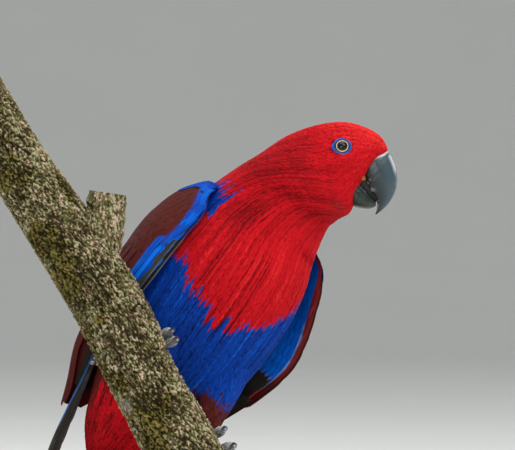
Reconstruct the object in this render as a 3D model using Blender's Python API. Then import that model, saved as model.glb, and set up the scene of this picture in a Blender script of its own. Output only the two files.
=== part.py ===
"""Female eclectus parrot, life size, gripping a cut length of branch on a plain display stand.

Sizes are in millimetres and become metres when a mesh is made. +Z is up, -Y is the side the
bird's breast faces, and the origin is the middle of the base's underside. The bird is measured
from SHOULDER, the point of its body axis between the shoulders, along TAILWARD, LEFT and BELLY.
"""
import math

import bmesh
import bpy
import numpy as np

# Driving dimensions: places and directions
MM = 0.001
GAP = 0.3
SHOULDER = np.array((57.0, 30.0, 252.0))
TAILWARD = np.array((-0.537, 0.0, -0.843))
BELLY_HINT = np.array((0.455, -0.84, -0.29))

# Driving dimensions: torso, as (distance behind the shoulder, half width, back, belly)
TORSO = (
    (150.0, 34.0, 21.0, 25.0),
    (138.0, 38.0, 25.0, 29.0),
    (120.0, 43.0, 31.0, 34.0),
    (95.0, 48.0, 37.0, 41.0),
    (70.0, 51.0, 40.0, 45.5),
    (45.0, 51.0, 41.0, 47.5),
    (22.0, 47.0, 40.0, 46.0),
    (3.0, 41.0, 37.0, 41.0),
)
# Neck and head, as (top x, top z, underside x, underside z, depth y, half width, twist), where
# x and z are from the shoulder in the plane of the head's profile, and twist 1 is that plane
NECK_AND_HEAD = (
    (-13.0, 34.0, 38.5, -7.0, -8.0, 35.0, 0.25),
    (0.5, 43.0, 43.5, -2.5, -13.5, 32.5, 0.5),
    (15.0, 52.5, 49.5, 1.5, -18.0, 29.5, 0.8),
    (29.0, 58.0, 54.5, 4.5, -20.5, 27.0, 1.0),
    (42.5, 61.0, 57.0, 9.0, -21.5, 25.0, 1.0),
    (55.0, 61.0, 57.0, 13.0, -22.0, 22.0, 1.0),
    (65.0, 58.0, 59.2, 18.5, -22.0, 18.0, 1.0),
    (73.0, 53.5, 63.5, 26.0, -22.0, 14.0, 1.0),
    (77.5, 47.5, 69.0, 36.0, -22.0, 9.5, 1.0),
    (79.0, 43.5, 75.5, 40.5, -22.0, 4.0, 1.0),
)
TORSO_RINGS = 15
NECK_RINGS = 6
HEAD_RINGS = 13
BODY_SIDES = 28
NECK_START = 0.55
HEAD_START = 2.6

# Driving dimensions: bill, in the plane of the head's profile, as (ridge x, ridge z, edge x,
# edge z, half width) from the feathers to the tip
BILL_DEPTH_Y = -22.0
UPPER_BILL = (
    (76.5, 46.0, 62.5, 28.5, 8.6),
    (80.5, 41.5, 64.5, 25.0, 9.0),
    (83.2, 35.5, 66.0, 21.0, 8.8),
    (84.6, 28.5, 67.8, 17.6, 8.0),
    (84.2, 21.5, 70.2, 15.2, 6.6),
    (82.4, 16.0, 71.6, 12.8, 5.0),
    (79.2, 10.8, 72.0, 9.6, 3.5),
    (75.2, 6.8, 71.6, 6.4, 2.0),
    (71.6, 4.0, 70.8, 4.0, 0.8),
)
LOWER_BILL = (
    (61.5, 28.0, 54.0, 12.0, 8.6),
    (63.6, 24.5, 58.6, 8.8, 9.0),
    (65.6, 20.6, 63.2, 7.8, 8.4),
    (67.8, 17.4, 67.2, 7.6, 7.2),
    (69.8, 14.6, 69.8, 8.4, 5.5),
    (71.0, 11.8, 71.0, 9.4, 3.4),
)

BILL_SIDES = 12
UPPER_BILL_RINGS = 12
LOWER_BILL_RINGS = 8

# Driving dimensions: eyes
EYE_X = 49.9
EYE_Z = 44.8
EYE_RADIUS = 5.6
EYE_OUT = 18.2
LID_RADIUS = 4.9
LID_THICKNESS = 1.1
LID_STEPS = 14
LID_SIDES = 6

# Driving dimensions: wing, as (distance behind the shoulder, out, towards the belly) along its
# leading edge, its bulge and its edge on the back
WING_EDGE = (
    (-4.0, 41.0, -1.0),
    (2.0, 48.0, 8.0),
    (14.0, 52.0, 20.0),
    (30.0, 56.5, 23.5),
    (48.0, 60.5, 26.0),
    (68.0, 62.5, 26.0),
    (95.0, 59.7, 16.4),
    (119.0, 55.2, 3.5),
    (145.0, 46.0, -6.0),
    (165.0, 41.0, -11.0),
    (190.0, 34.5, -14.5),
    (214.0, 25.0, -17.0),
)
WING_BULGE = (
    (-4.0, 42.0, -9.0),
    (10.0, 53.0, -13.0),
    (30.0, 61.0, -16.0),
    (60.0, 64.5, -16.0),
    (100.0, 61.0, -18.0),
    (130.0, 50.0, -23.0),
    (150.0, 40.0, -23.5),
    (175.0, 31.0, -22.0),
    (195.0, 25.0, -20.0),
    (214.0, 17.0, -18.5),
)
WING_BACK = (
    (-4.0, 38.0, -16.0),
    (8.0, 31.0, -34.0),
    (30.0, 21.0, -44.0),
    (60.0, 15.0, -47.0),
    (100.0, 11.0, -43.5),
    (130.0, 8.5, -37.0),
    (150.0, 7.0, -32.0),
    (175.0, 9.0, -27.0),
    (200.0, 12.0, -22.5),
    (214.0, 15.0, -20.5),
)
WING_CORE_END = 152.0
WING_CORE_RINGS = 12
WING_EDGE_THICKNESS = 8.0
WING_ROOT_DEPTH = 17.0
WING_THIN_FROM = 95.0
WING_THIN_OVER = 40.0
WING_REAR_THICKNESS = 2.6

# Driving dimensions: feather outlines, as (share of the length, share of the half width)
LONG_VANE = ((0.0, 0.5), (0.4, 0.92), (0.72, 1.0), (0.92, 0.72), (1.0, 0.26))
SHORT_VANE = ((0.0, 0.55), (0.6, 1.0), (0.9, 0.78), (1.0, 0.3))

# Driving dimensions: rows of wing feathers, as (name, count, (first root, last root), (first tip,
# last tip), (first across, last across), half width, rise at the root, rise at the tip, tilt)
FEATHER_THICKNESS = 0.65
WING_ROWS = (
    ("secondary", 7, (90.0, 90.0), (133.0, 158.0), (0.15, 0.88), 9.0, -1.2, 1.5, 1.0),
    ("greater_covert", 6, (54.0, 52.0), (94.0, 104.0), (0.14, 0.87), 10.5, -1.2, 1.8, 1.0),
    ("median_covert", 5, (22.0, 20.0), (60.0, 64.0), (0.18, 0.84), 12.0, -1.2, 1.7, 0.9),
    ("primary_covert", 2, (54.0, 54.0), (106.0, 94.0), (0.03, 0.10), 4.5, -1.0, 0.8, 0.2),
)
PRIMARY_ROOT = 112.0
PRIMARY_TIPS = (213.0, 207.0, 196.0, 182.0, 166.0)
PRIMARY_HALF_WIDTH = 5.2
PRIMARY_INSET = 2.6
PRIMARY_STEP = 0.95
PRIMARY_DEPTH = -1.0

# Driving dimensions: tail
TAIL_CORE = (
    (150.6, 34.0, 20.5, 24.5),
    (160.0, 29.5, 16.5, 21.0),
    (170.0, 22.5, 11.5, 16.0),
    (180.0, 14.0, 6.5, 9.5),
    (187.0, 6.0, 3.0, 3.5),
)
TAIL_LIFT = -4.0
TAIL_TIP = 261.0
TAIL_ROOT = 158.0
TAIL_FEATHER_PAIRS = 6
TAIL_HALF_WIDTH = 7.6
TAIL_SPREAD = 2.9
TAIL_STEP = 0.95

# Driving dimensions: branch, as (x, z, radius) from the shoulder, all at PERCH_Y
PERCH_Y = -84.0
PERCH_AXIS = (
    (-23.8, -187.8, 23.4),
    (-50.8, -133.7, 23.4),
    (-72.4, -95.1, 22.2),
    (-87.8, -60.8, 22.7),
    (-127.0, 3.6, 21.4),
    (-143.1, 27.3, 19.7),
    (-175.0, 80.0, 19.0),
)
PERCH_RINGS = 18
PERCH_SIDES = 16
STUB_PATH = ((-104.0, -36.0, 14.0), (-97.0, -10.0, 14.5), (-93.0, 17.0, 13.0))

# Driving dimensions: legs, as (behind the shoulder, to the left, towards the belly, radius)
THIGH_RIGHT = (
    (88.0, -18.0, 16.0, 18.0),
    (101.0, -28.0, 22.5, 14.5),
    (110.0, -34.5, 25.5, 9.5),
    (114.5, -38.0, 27.5, 5.6),
)
THIGH_LEFT = (
    (84.0, 20.0, 18.0, 20.0),
    (102.0, 19.0, 34.0, 13.2),
    (122.0, 15.0, 50.0, 7.6),
    (134.0, 12.0, 60.0, 5.8),
    (138.0, 10.5, 63.5, 5.4),
)
# Feet, by their distance along the branch from its lower end, and toes, as (name, distance
# along the branch from the foot's middle, first angle, last angle, share of the thickness)
FOOT_RIGHT_AT = 120.5
FOOT_LEFT_AT = 48.0
FOOT_PAD_LENGTH = 13.0
ANKLE_ABOVE = 5.5
TOE_RADIUS = 3.8
TOE_ARCH = 3.6
TOES_RIGHT = (
    ("inner", 3.1, 8.0, 80.0, 0.92),
    ("middle", -3.1, 8.0, 84.0, 1.0),
    ("outer_back", 4.0, -8.0, -58.0, 0.98),
    ("hind", -4.5, -8.0, -46.0, 0.88),
)
TOES_LEFT = (
    ("inner", 5.6, 8.0, 84.0, 0.92),
    ("middle", -5.6, 8.0, 86.0, 1.0),
    ("outer_back", -5.0, -8.0, -72.0, 0.98),
    ("hind", 5.0, -8.0, -56.0, 0.88),
)
CLAW_LENGTH = 11.0
CLAW_ORBIT = 26.0
CLAW_RADIUS = 2.2
CLAW_TIP_RADIUS = 0.35

# Driving dimensions: stand
BASE_SIZE = (250.0, 170.0, 12.0)
BASE_CORNER = 14.0
ROD_RADIUS = 4.0
ROD_AT = ((27.0, -54.0), (5.0, -54.0))
ROD_SOCKET = 12.0

COLOURS = {
    "red": (0.62, 0.012, 0.012),
    "blue": (0.015, 0.035, 0.42),
    "maroon": (0.16, 0.012, 0.018),
    "horn": (0.03, 0.032, 0.036),
    "eye": (0.012, 0.01, 0.009),
    "skin": (0.16, 0.165, 0.17),
    "bark": (0.16, 0.15, 0.085),
    "metal": (0.55, 0.55, 0.56),
    "board": (0.10, 0.055, 0.03),
}


def unit(vector):
    return np.asarray(vector, float) / np.linalg.norm(vector)


TAILWARD = unit(TAILWARD)
BELLY = unit(BELLY_HINT - TAILWARD * np.dot(BELLY_HINT, TAILWARD))
LEFT = unit(np.cross(BELLY, TAILWARD))
UP = np.array((0.0, 0.0, 1.0))


def body_point(behind, left, belly):
    return SHOULDER + behind * TAILWARD + left * LEFT + belly * BELLY


def smooth(knots, values, at):
    """Cubic curve through the values, with the slopes of their neighbours."""
    knots = np.asarray(knots, float)
    values = np.asarray(values, float)
    slopes = np.gradient(values, knots, axis=0)
    i = int(np.clip(np.searchsorted(knots, at) - 1, 0, len(knots) - 2))
    span = knots[i + 1] - knots[i]
    t = (at - knots[i]) / span
    start = values[i] * (2 * t**3 - 3 * t**2 + 1) + slopes[i] * span * (t**3 - 2 * t**2 + t)
    end = values[i + 1] * (3 * t**2 - 2 * t**3) + slopes[i + 1] * span * (t**3 - t**2)
    return start + end


def rail(table, at):
    rows = np.array(table)
    return smooth(rows[:, 0], rows[:, 1:], at)


# Meshes

def new_object(name, vertices, faces, collection, material=None):
    mesh = bpy.data.meshes.new(name)
    mesh.from_pydata([tuple(v * MM) for v in np.asarray(vertices, float)], [], faces)
    mesh.update()
    obj = bpy.data.objects.new(name, mesh)
    collection.objects.link(obj)
    tidy_mesh(mesh)
    if material:
        mesh.materials.append(material)
    return obj


def tidy_mesh(mesh):
    """Faces out, and all of them triangles."""
    bm = bmesh.new()
    bm.from_mesh(mesh)
    bmesh.ops.recalc_face_normals(bm, faces=bm.faces)
    bmesh.ops.triangulate(bm, faces=[f for f in bm.faces if len(f.verts) > 3])
    bm.to_mesh(mesh)
    bm.free()


def loft(rings):
    """Closed surface through rings of equal count, with a middle point closing each end."""
    count = len(rings[0])
    vertices = [p for ring in rings for p in ring]
    faces = []
    for r in range(len(rings) - 1):
        for k in range(count):
            a = r * count + k
            b = r * count + (k + 1) % count
            faces.append((a, b, b + count))
            faces.append((a, b + count, a + count))
    for first in (0, (len(rings) - 1) * count):
        vertices.append(np.mean(vertices[first:first + count], axis=0))
        middle = len(vertices) - 1
        faces += [(middle, first + k, first + (k + 1) % count) for k in range(count)]
    return vertices, faces


def ellipse_ring(centre, side, up, width, height_up, height_down, sides):
    ring = []
    for k in range(sides):
        angle = 2 * math.pi * k / sides
        height = height_up if math.sin(angle) > 0 else height_down
        ring.append(centre + side * width * math.cos(angle) + up * height * math.sin(angle))
    return ring


def tube(path, sides):
    """Round rings along points of (x, y, z, radius)."""
    rows = np.array(path, float)
    rings = []
    for i, row in enumerate(rows):
        along = unit(rows[min(i + 1, len(rows) - 1), :3] - rows[max(i - 1, 0), :3])
        side = unit(np.cross(along, UP if abs(along[2]) < 0.9 else LEFT))
        up = np.cross(side, along)
        rings.append(ellipse_ring(row[:3], side, up, row[3], row[3], row[3], sides))
    return loft(rings)


def resample(rows, count):
    """Points along a smooth curve through the rows, evenly spaced by row."""
    rows = np.array(rows, float)
    knots = np.arange(len(rows))
    return [smooth(knots, rows, t) for t in np.linspace(0, len(rows) - 1, count)]


# Fusing and cutting

def evaluated(obj):
    """The object with its modifiers applied."""
    depsgraph = bpy.context.evaluated_depsgraph_get()
    mesh = bpy.data.meshes.new_from_object(obj.evaluated_get(depsgraph))
    obj.modifiers.clear()
    obj.data = mesh
    return obj


def keep_largest(obj):
    """Keep the closed surface with most volume, and drop scraps and sealed hollows."""
    bm = bmesh.new()
    bm.from_mesh(obj.data)
    bmesh.ops.remove_doubles(bm, verts=bm.verts, dist=3e-7)
    bmesh.ops.triangulate(bm, faces=bm.faces)
    bm.faces.ensure_lookup_table()
    seen = set()
    groups = []
    for face in bm.faces:
        if face.index in seen:
            continue
        stack = [face]
        seen.add(face.index)
        group = []
        while stack:
            current = stack.pop()
            group.append(current)
            for edge in current.edges:
                for other in edge.link_faces:
                    if other.index not in seen:
                        seen.add(other.index)
                        stack.append(other)
        groups.append(group)

    def volume(group):
        total = 0.0
        for face in group:
            a, b, c = (v.co for v in face.verts)
            total += a.dot(b.cross(c)) / 6
        return total

    groups.sort(key=volume, reverse=True)
    dropped = [face for group in groups[1:] for face in group]
    bmesh.ops.delete(bm, geom=dropped, context="FACES")
    loose = [v for v in bm.verts if not v.link_faces]
    bmesh.ops.delete(bm, geom=loose, context="VERTS")
    bm.to_mesh(obj.data)
    bm.free()
    return obj


def fuse(obj, pieces):
    """One Boolean union of the pieces with the object."""
    if not pieces:
        return obj
    group = bpy.data.collections.new("pieces")
    bpy.context.scene.collection.children.link(group)
    for piece in pieces:
        for owner in list(piece.users_collection):
            owner.objects.unlink(piece)
        group.objects.link(piece)
    modifier = obj.modifiers.new("fuse", "BOOLEAN")
    modifier.operation = "UNION"
    modifier.operand_type = "COLLECTION"
    modifier.collection = group
    modifier.solver = "EXACT"
    evaluated(obj)
    for piece in list(group.objects):
        bpy.data.objects.remove(piece)
    bpy.data.collections.remove(group)
    return keep_largest(obj)


def cut(obj, cutters):
    """Boolean differences, one cutter after another."""
    for cutter in cutters:
        modifier = obj.modifiers.new("cut", "BOOLEAN")
        modifier.operation = "DIFFERENCE"
        modifier.object = cutter
        modifier.solver = "EXACT"
        evaluated(obj)
    return keep_largest(obj)


def smooth_shading(obj):
    obj.data.shade_smooth()
    obj.data.set_sharp_from_angle(angle=math.radians(40))


# Body

def torso_station(row):
    behind, width, back, belly = row
    centre = body_point(behind, 0.0, 0.0)
    return (*centre, *LEFT, *(-BELLY), width, back, belly)


def head_station(row):
    top_x, top_z, low_x, low_z, depth, width, twist = row
    top = SHOULDER + (top_x, depth, top_z)
    low = SHOULDER + (low_x, depth, low_z)
    profile_up = unit(top - low)
    tilt = (1 - twist) * 0.8
    side = unit((1 - tilt) * np.array((0.0, 1.0, 0.0)) + tilt * LEFT)
    up = profile_up - side * np.dot(profile_up, side)
    up = unit(unit(up) * (1 - tilt) - tilt * BELLY)
    side = unit(side - up * np.dot(side, up))
    half = np.linalg.norm(top - low) / 2
    return (*((top + low) / 2), *side, *up, width, half, half)


def body_stations():
    return [torso_station(row) for row in TORSO] + [head_station(row) for row in NECK_AND_HEAD]


def body_ring(at, grow=0.0, sides=BODY_SIDES):
    """Ring of the body at a station number, grown outwards by grow."""
    stations = body_stations()
    row = smooth(np.arange(len(stations)), stations, at)
    side = unit(row[3:6])
    up = unit(row[6:9] - side * np.dot(row[6:9], side))
    return ellipse_ring(row[:3], side, up, row[9] + grow, row[10] + grow, row[11] + grow, sides)


def body_piece(name, start, end, rings, collection, material=None, grow=0.0):
    vertices, faces = loft([body_ring(t, grow) for t in np.linspace(start, end, rings)])
    return new_object(name, vertices, faces, collection, material)


def body_marks():
    """Station numbers of the cuts behind the neck and the head, and of the forehead."""
    torso_last = len(TORSO) - 1
    return torso_last + NECK_START, torso_last + HEAD_START, len(TORSO) + len(NECK_AND_HEAD) - 1


def eye_centre(side):
    return SHOULDER + (EYE_X, BILL_DEPTH_Y + side * EYE_OUT, EYE_Z)


def lid_ring(side, collection):
    """Raised rim round the eye, a little longer than high, facing outwards."""
    centre = eye_centre(side)
    outward = unit((0.03, side, 0.34))
    across = unit(np.cross(outward, UP)) * 1.06
    upward = unit(np.cross(across, outward))
    reach = math.sqrt(EYE_RADIUS**2 - (LID_RADIUS - LID_THICKNESS * 0.6) ** 2) - 0.4
    vertices = []
    faces = []
    for i in range(LID_STEPS):
        a = 2 * math.pi * i / LID_STEPS
        spoke = across * math.cos(a) + upward * math.sin(a)
        for j in range(LID_SIDES):
            b = 2 * math.pi * j / LID_SIDES
            out = LID_RADIUS + LID_THICKNESS * 1.4 * math.cos(b)
            vertices.append(centre + spoke * out + outward * (reach + LID_THICKNESS * math.sin(b)))
            this_side = i * LID_SIDES
            next_side = (i + 1) % LID_STEPS * LID_SIDES
            k = (j + 1) % LID_SIDES
            faces.append((this_side + j, this_side + k, next_side + k, next_side + j))
    return new_object("lid", vertices, faces, collection)


def ball(name, centre, radius, collection, material=None, segments=14):
    bm = bmesh.new()
    bmesh.ops.create_uvsphere(bm, u_segments=segments, v_segments=segments // 2, radius=radius * MM)
    bmesh.ops.translate(bm, verts=bm.verts, vec=tuple(centre * MM))
    bmesh.ops.triangulate(bm, faces=bm.faces)
    mesh = bpy.data.meshes.new(name)
    bm.to_mesh(mesh)
    bm.free()
    obj = bpy.data.objects.new(name, mesh)
    collection.objects.link(obj)
    if material:
        mesh.materials.append(material)
    return obj


# Bill

def bill_ring(row, grow):
    """One section: a narrow ridge at the top, widest below its middle, flat at the edge."""
    ridge = SHOULDER + (row[0], BILL_DEPTH_Y, row[1])
    edge = SHOULDER + (row[2], BILL_DEPTH_Y, row[3])
    height = np.linalg.norm(ridge - edge)
    up = (ridge - edge) / height
    middle = (ridge + edge) / 2
    ring = []
    for k in range(BILL_SIDES):
        angle = 2 * math.pi * k / BILL_SIDES
        rise = math.sin(angle)
        wide = math.copysign(abs(math.cos(angle)) ** 0.8, math.cos(angle))
        narrowing = 1.0 - 0.22 * max(rise, 0.0)
        across = (row[4] + grow) * wide * narrowing
        ring.append(middle + up * (height / 2 + grow) * rise + np.array((0.0, across, 0.0)))
    return ring


def bill(name, table, count, collection, material=None, grow=0.0):
    rows = resample(table, count)
    if grow:
        rows[0] = rows[0] + (rows[0] - rows[1]) * 0.2
    vertices, faces = loft([bill_ring(row, grow) for row in rows])
    return new_object(name, vertices, faces, collection, material)


# Feathers

def vane(name, stations, collection, thickness=FEATHER_THICKNESS):
    """Closed blade through stations of (one edge, shaft, other edge, normal). Both of its faces
    are split into triangles alike."""
    half = thickness / 2
    vertices = []
    for left, shaft, right, normal in stations:
        rise = normal * half
        vertices += [left + rise, shaft + rise, right + rise, left - rise, shaft - rise, right - rise]
    faces = []
    last = len(stations) - 1
    for i in range(last):
        a = 6 * i
        b = a + 6
        for j in (0, 1):
            faces += [(a + j, b + j, b + j + 1), (a + j, b + j + 1, a + j + 1)]
            faces += [(a + j + 3, b + j + 4, b + j + 3), (a + j + 3, a + j + 4, b + j + 4)]
        faces += [(a, a + 3, b + 3), (a, b + 3, b)]
        faces += [(a + 2, b + 5, a + 5), (a + 2, b + 2, b + 5)]
    for a in (0, 6 * last):
        faces += [(a, a + 1, a + 4), (a, a + 4, a + 3), (a + 1, a + 2, a + 5), (a + 1, a + 5, a + 4)]
    return new_object(name, vertices, faces, collection)


# Wings

def wing_surface(behind, across, side):
    """Point of the folded wing's outer surface: across 0 is its leading edge, 1 its back edge."""
    edge = rail(WING_EDGE, behind)
    bulge = rail(WING_BULGE, behind)
    back = rail(WING_BACK, behind)
    w = across
    out, belly = edge * (1 - w) * (1 - 2 * w) + bulge * 4 * w * (1 - w) + back * w * (2 * w - 1)
    return body_point(behind, side * out, belly)


def wing_normal(behind, across, side):
    step = 0.5
    along = wing_surface(behind + step, across, side) - wing_surface(behind - step, across, side)
    around = wing_surface(behind, across + 0.01, side) - wing_surface(behind, across - 0.01, side)
    normal = unit(np.cross(along, around))
    outward = wing_surface(behind, across, side) - body_point(behind, 0.0, 0.0)
    return normal if np.dot(normal, outward) > 0 else -normal


def wing_width(behind, side):
    points = [wing_surface(behind, w, side) for w in np.linspace(0, 1, 6)]
    return sum(np.linalg.norm(b - a) for a, b in zip(points, points[1:]))


def wing_core(name, side, collection, material):
    """The wing without its feathers' tips, thick over the flank and thin behind it."""
    rings = []
    for behind in np.linspace(WING_EDGE[0][0], WING_CORE_END, WING_CORE_RINGS):
        rear = np.clip((behind - WING_THIN_FROM) / WING_THIN_OVER, 0, 1)
        front = np.clip((behind + 6.0) / 24.0, 0.35, 1)
        deep = front * WING_ROOT_DEPTH * (1 - rear) + WING_REAR_THICKNESS * rear
        thin = front * WING_EDGE_THICKNESS * (1 - rear) + WING_REAR_THICKNESS * rear
        outer = []
        inner = []
        for w in np.linspace(0.0, 1.0, 7):
            point = wing_surface(behind, w, side)
            normal = wing_normal(behind, w, side)
            depth = thin + (deep - thin) * min(w / 0.35, 1.0)
            lower = 0.35 * thin if w == 0.0 else 0.0
            outer.append(point - normal * lower)
            inner.append(point - normal * depth * (0.72 if w in (0.0, 1.0) else 1.0))
        rings.append(outer + inner[::-1])
    vertices, faces = loft(rings)
    return new_object(name, vertices, faces, collection, material)


def wing_vane(name, side, root, tip, half_width, rises, tilt, shape, collection):
    """Feather on the wing: its outer edge, nearer the leading edge, lies over its neighbour."""
    stations = []
    for t, share in shape:
        behind = root[0] + (tip[0] - root[0]) * t
        across = root[1] + (tip[1] - root[1]) * t
        reach = half_width * share / wing_width(behind, side)
        rise = rises[0] + (rises[1] - rises[0]) * min(t / shape[1][0], 1.0)
        normal = wing_normal(behind, across, side)
        points = []
        for edge in (-1, 0, 1):
            place = wing_surface(behind, across + edge * reach, side)
            points.append(place + normal * (rise - edge * tilt * share))
        stations.append((*points, normal))
    return vane(name, stations, collection)


def primary_vane(i, tip_behind, side, collection):
    """Long flight feather, flat from the leading edge towards the back edge, over the one outside it."""
    stations = []
    for t, share in LONG_VANE:
        behind = PRIMARY_ROOT + (tip_behind - PRIMARY_ROOT) * t
        lead = wing_surface(behind, 0.0, side)
        inward = unit(wing_surface(behind, 1.0, side) - lead)
        normal = unit(np.cross(TAILWARD, inward)) * side
        middle = lead + inward * (PRIMARY_INSET * i * t + PRIMARY_HALF_WIDTH)
        middle = middle + normal * (PRIMARY_DEPTH + PRIMARY_STEP * i)
        points = [middle + inward * edge * PRIMARY_HALF_WIDTH * share for edge in (-1, 0, 1)]
        stations.append((*points, normal))
    return vane("primary", stations, collection)


def wing_feathers(side, collection):
    pieces = []
    for name, count, roots, tips, spans, half_width, low, high, tilt in WING_ROWS:
        for i in range(count):
            t = i / (count - 1)
            across = spans[0] + (spans[1] - spans[0]) * t
            root = (roots[0] + (roots[1] - roots[0]) * t, across)
            tip = (tips[0] + (tips[1] - tips[0]) * t, across)
            shape = LONG_VANE if name == "secondary" else SHORT_VANE
            pieces.append(wing_vane(name, side, root, tip, half_width, (low, high), tilt, shape, collection))
    for i, tip_behind in enumerate(PRIMARY_TIPS):
        pieces.append(primary_vane(i, tip_behind, side, collection))
    return pieces


# Tail

def tail_feathers(collection):
    """Pairs of long feathers, the middle pair on top, each pair outside it a little shorter and
    lower, with its inner edge short of the middle line."""
    pieces = []
    for i in range(TAIL_FEATHER_PAIRS):
        for side in (-1, 1):
            level = TAIL_LIFT + TAIL_STEP * (i + 1 if i or side < 0 else 0)
            root_out = 1.0 if i == 0 else 4.3 + 1.3 * (i - 1)
            tip_out = 2.5 if i == 0 else TAIL_HALF_WIDTH + 0.6 + TAIL_SPREAD * (i - 1)
            stations = []
            for t, share in LONG_VANE:
                behind = TAIL_ROOT + (TAIL_TIP - 1.0 * i - 0.4 * i * i - TAIL_ROOT) * t
                middle = side * (root_out + (tip_out - root_out) * min(t / 0.72, 1.0))
                row = []
                for edge in (-1, 0, 1):
                    row.append(body_point(behind, middle + edge * TAIL_HALF_WIDTH * share, level))
                stations.append((*row, -BELLY))
            pieces.append(vane("tail_feather", stations, collection))
    return pieces


def tail_ring(row, grow=0.0):
    behind, width, back, belly = row
    centre = body_point(behind, 0.0, TAIL_LIFT * min((behind - 150.0) / 20.0, 1.0))
    return ellipse_ring(centre, LEFT, -BELLY, width + grow, back + grow, belly + grow, BODY_SIDES)


def tail_core(name, collection, material=None, grow=0.0):
    rows = resample(TAIL_CORE, 8)
    vertices, faces = loft([tail_ring(row, grow) for row in rows])
    return new_object(name, vertices, faces, collection, material)


# Perch

def perch_marks():
    """Distance of each row of the branch from its lower cut end."""
    steps = np.linalg.norm(np.diff(np.array(PERCH_AXIS)[:, :2], axis=0), axis=1)
    return np.concatenate(([0.0], np.cumsum(steps)))


PERCH_LENGTH = perch_marks()[-1]


def perch_axis(at):
    """Axis point and radius at a distance along the branch from its lower cut end."""
    x, z, radius = smooth(perch_marks(), PERCH_AXIS, at)
    return SHOULDER + (x, PERCH_Y, z), radius


def perch_frame(at):
    ahead, _ = perch_axis(min(at + 3.0, PERCH_LENGTH))
    behind, _ = perch_axis(max(at - 3.0, 0.0))
    along = unit(ahead - behind)
    far = np.array((0.0, 1.0, 0.0))
    right = unit(np.cross(far, along))
    return along, far, right


def perch_point(at, angle, above=0.0):
    """Point above the bark: angle 0 is the far side, 90 degrees the image's right."""
    centre, radius = perch_axis(at)
    _, far, right = perch_frame(at)
    wave = 0.5 * math.sin(3 * angle + at / 34.0) + 0.35 * math.sin(2 * angle - at / 18.0)
    return centre + (far * math.cos(angle) + right * math.sin(angle)) * (radius + wave + above)


def perch_body(name, collection, material=None, above=0.0):
    rings = []
    for at in np.linspace(0, PERCH_LENGTH, PERCH_RINGS):
        angles = [2 * math.pi * k / PERCH_SIDES for k in range(PERCH_SIDES)]
        rings.append([perch_point(at, angle, above) for angle in angles])
    vertices, faces = loft(rings)
    return new_object(name, vertices, faces, collection, material)


def cylinder(name, x, y, low, high, radius, collection, material=None, sides=24):
    bm = bmesh.new()
    bmesh.ops.create_cone(bm, cap_ends=True, segments=sides, radius1=radius * MM,
                          radius2=radius * MM, depth=(high - low) * MM)
    bmesh.ops.translate(bm, verts=bm.verts, vec=(x * MM, y * MM, (low + high) / 2 * MM))
    bmesh.ops.triangulate(bm, faces=bm.faces)
    mesh = bpy.data.meshes.new(name)
    bm.to_mesh(mesh)
    bm.free()
    obj = bpy.data.objects.new(name, mesh)
    collection.objects.link(obj)
    if material:
        mesh.materials.append(material)
    return obj


def perch_underside(x):
    """Height at which a vertical line in the axis plane first meets the branch."""
    low_end, radius = perch_axis(0.0)
    along, _, right = perch_frame(0.0)
    end_face = low_end[2] - (x - low_end[0]) * along[0] / along[2]
    left_side = low_end - right * radius
    side = left_side[2] + (x - left_side[0]) * along[2] / along[0]
    return max(end_face, side)


# Legs

def thigh(name, table, collection, material=None, grow=0.0):
    rows = []
    for behind, left, belly, radius in resample(table, 8):
        rows.append((*body_point(behind, left, belly), radius + grow))
    if grow:
        rows[-1] = (*(rows[-1][:3] + unit(rows[-1][:3] - np.array(rows[-2][:3])) * grow), rows[-1][3])
    vertices, faces = tube(rows, 14)
    return new_object(name, vertices, faces, collection, material)


def toe_row(at, angle, above, radius):
    return (*perch_point(at, math.radians(angle), above), radius)


def toe_path(foot_at, aside, start, end, share):
    """Toe round the branch, with a pad at each joint."""
    rows = []
    for i in range(6):
        t = i / 5
        pad = 0.1 * math.cos(t * 2.5 * 2 * math.pi)
        radius = TOE_RADIUS * (1 - 0.24 * t + pad) * share
        angle = start + (end - start) * t
        at = foot_at + aside * math.sin(t * math.pi / 2)
        rows.append(toe_row(at, angle, radius - 0.7 + TOE_ARCH * t**2, radius))
    return rows


def foot(name, foot_at, heel, toes, collection, material):
    """Pad behind the branch, shank up to the heel, and four toes round the branch."""
    ankle = perch_point(foot_at, 0.0, ANKLE_ABOVE)
    pad_rows = []
    for t in np.linspace(0, 1, 5):
        point = perch_point(foot_at + FOOT_PAD_LENGTH * (t - 0.5), 0.0, 3.4)
        pad_rows.append((*point, 5.6 * math.sin(math.pi * (0.2 + 0.6 * t))))
    vertices, faces = tube(pad_rows, 10)
    body = new_object(name, vertices, faces, collection, material)
    shank = [(*(heel + (ankle - heel) * t), 4.2 + 1.1 * (2 * t - 1) ** 2) for t in np.linspace(0, 1, 5)]
    vertices, faces = tube(shank, 12)
    pieces = [new_object("shank", vertices, faces, collection)]
    for toe_name, aside, start, end, share in toes:
        vertices, faces = tube(toe_path(foot_at, aside, start, end, share), 6)
        pieces.append(new_object(toe_name, vertices, faces, collection))
    return fuse(body, pieces)


def claw(name, foot_at, toe, collection, material=None, grow=0.0):
    """Curved claw with its root inside the toe's tip; grow widens it for the socket."""
    _, aside, _, end, share = toe
    direction = math.copysign(1.0, end)
    reach = math.degrees(CLAW_LENGTH * share / CLAW_ORBIT)
    rows = []
    for i in range(6):
        t = i / 5
        radius = (CLAW_RADIUS * (1 - t) + CLAW_TIP_RADIUS * t) * share + grow
        above = (3.1 + TOE_ARCH + 1.2 * math.sin(math.pi * t * 0.8)) * (1 - t) + 0.95 * t
        rows.append(toe_row(foot_at + aside, end + direction * (reach * t - 5.0), above, radius))
    if grow:
        rows[0] = toe_row(foot_at + aside, end - direction * 5.7, 3.1 + TOE_ARCH, rows[0][3])
    vertices, faces = tube(rows, 8)
    return new_object(name, vertices, faces, collection, material)


# Stand

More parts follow.
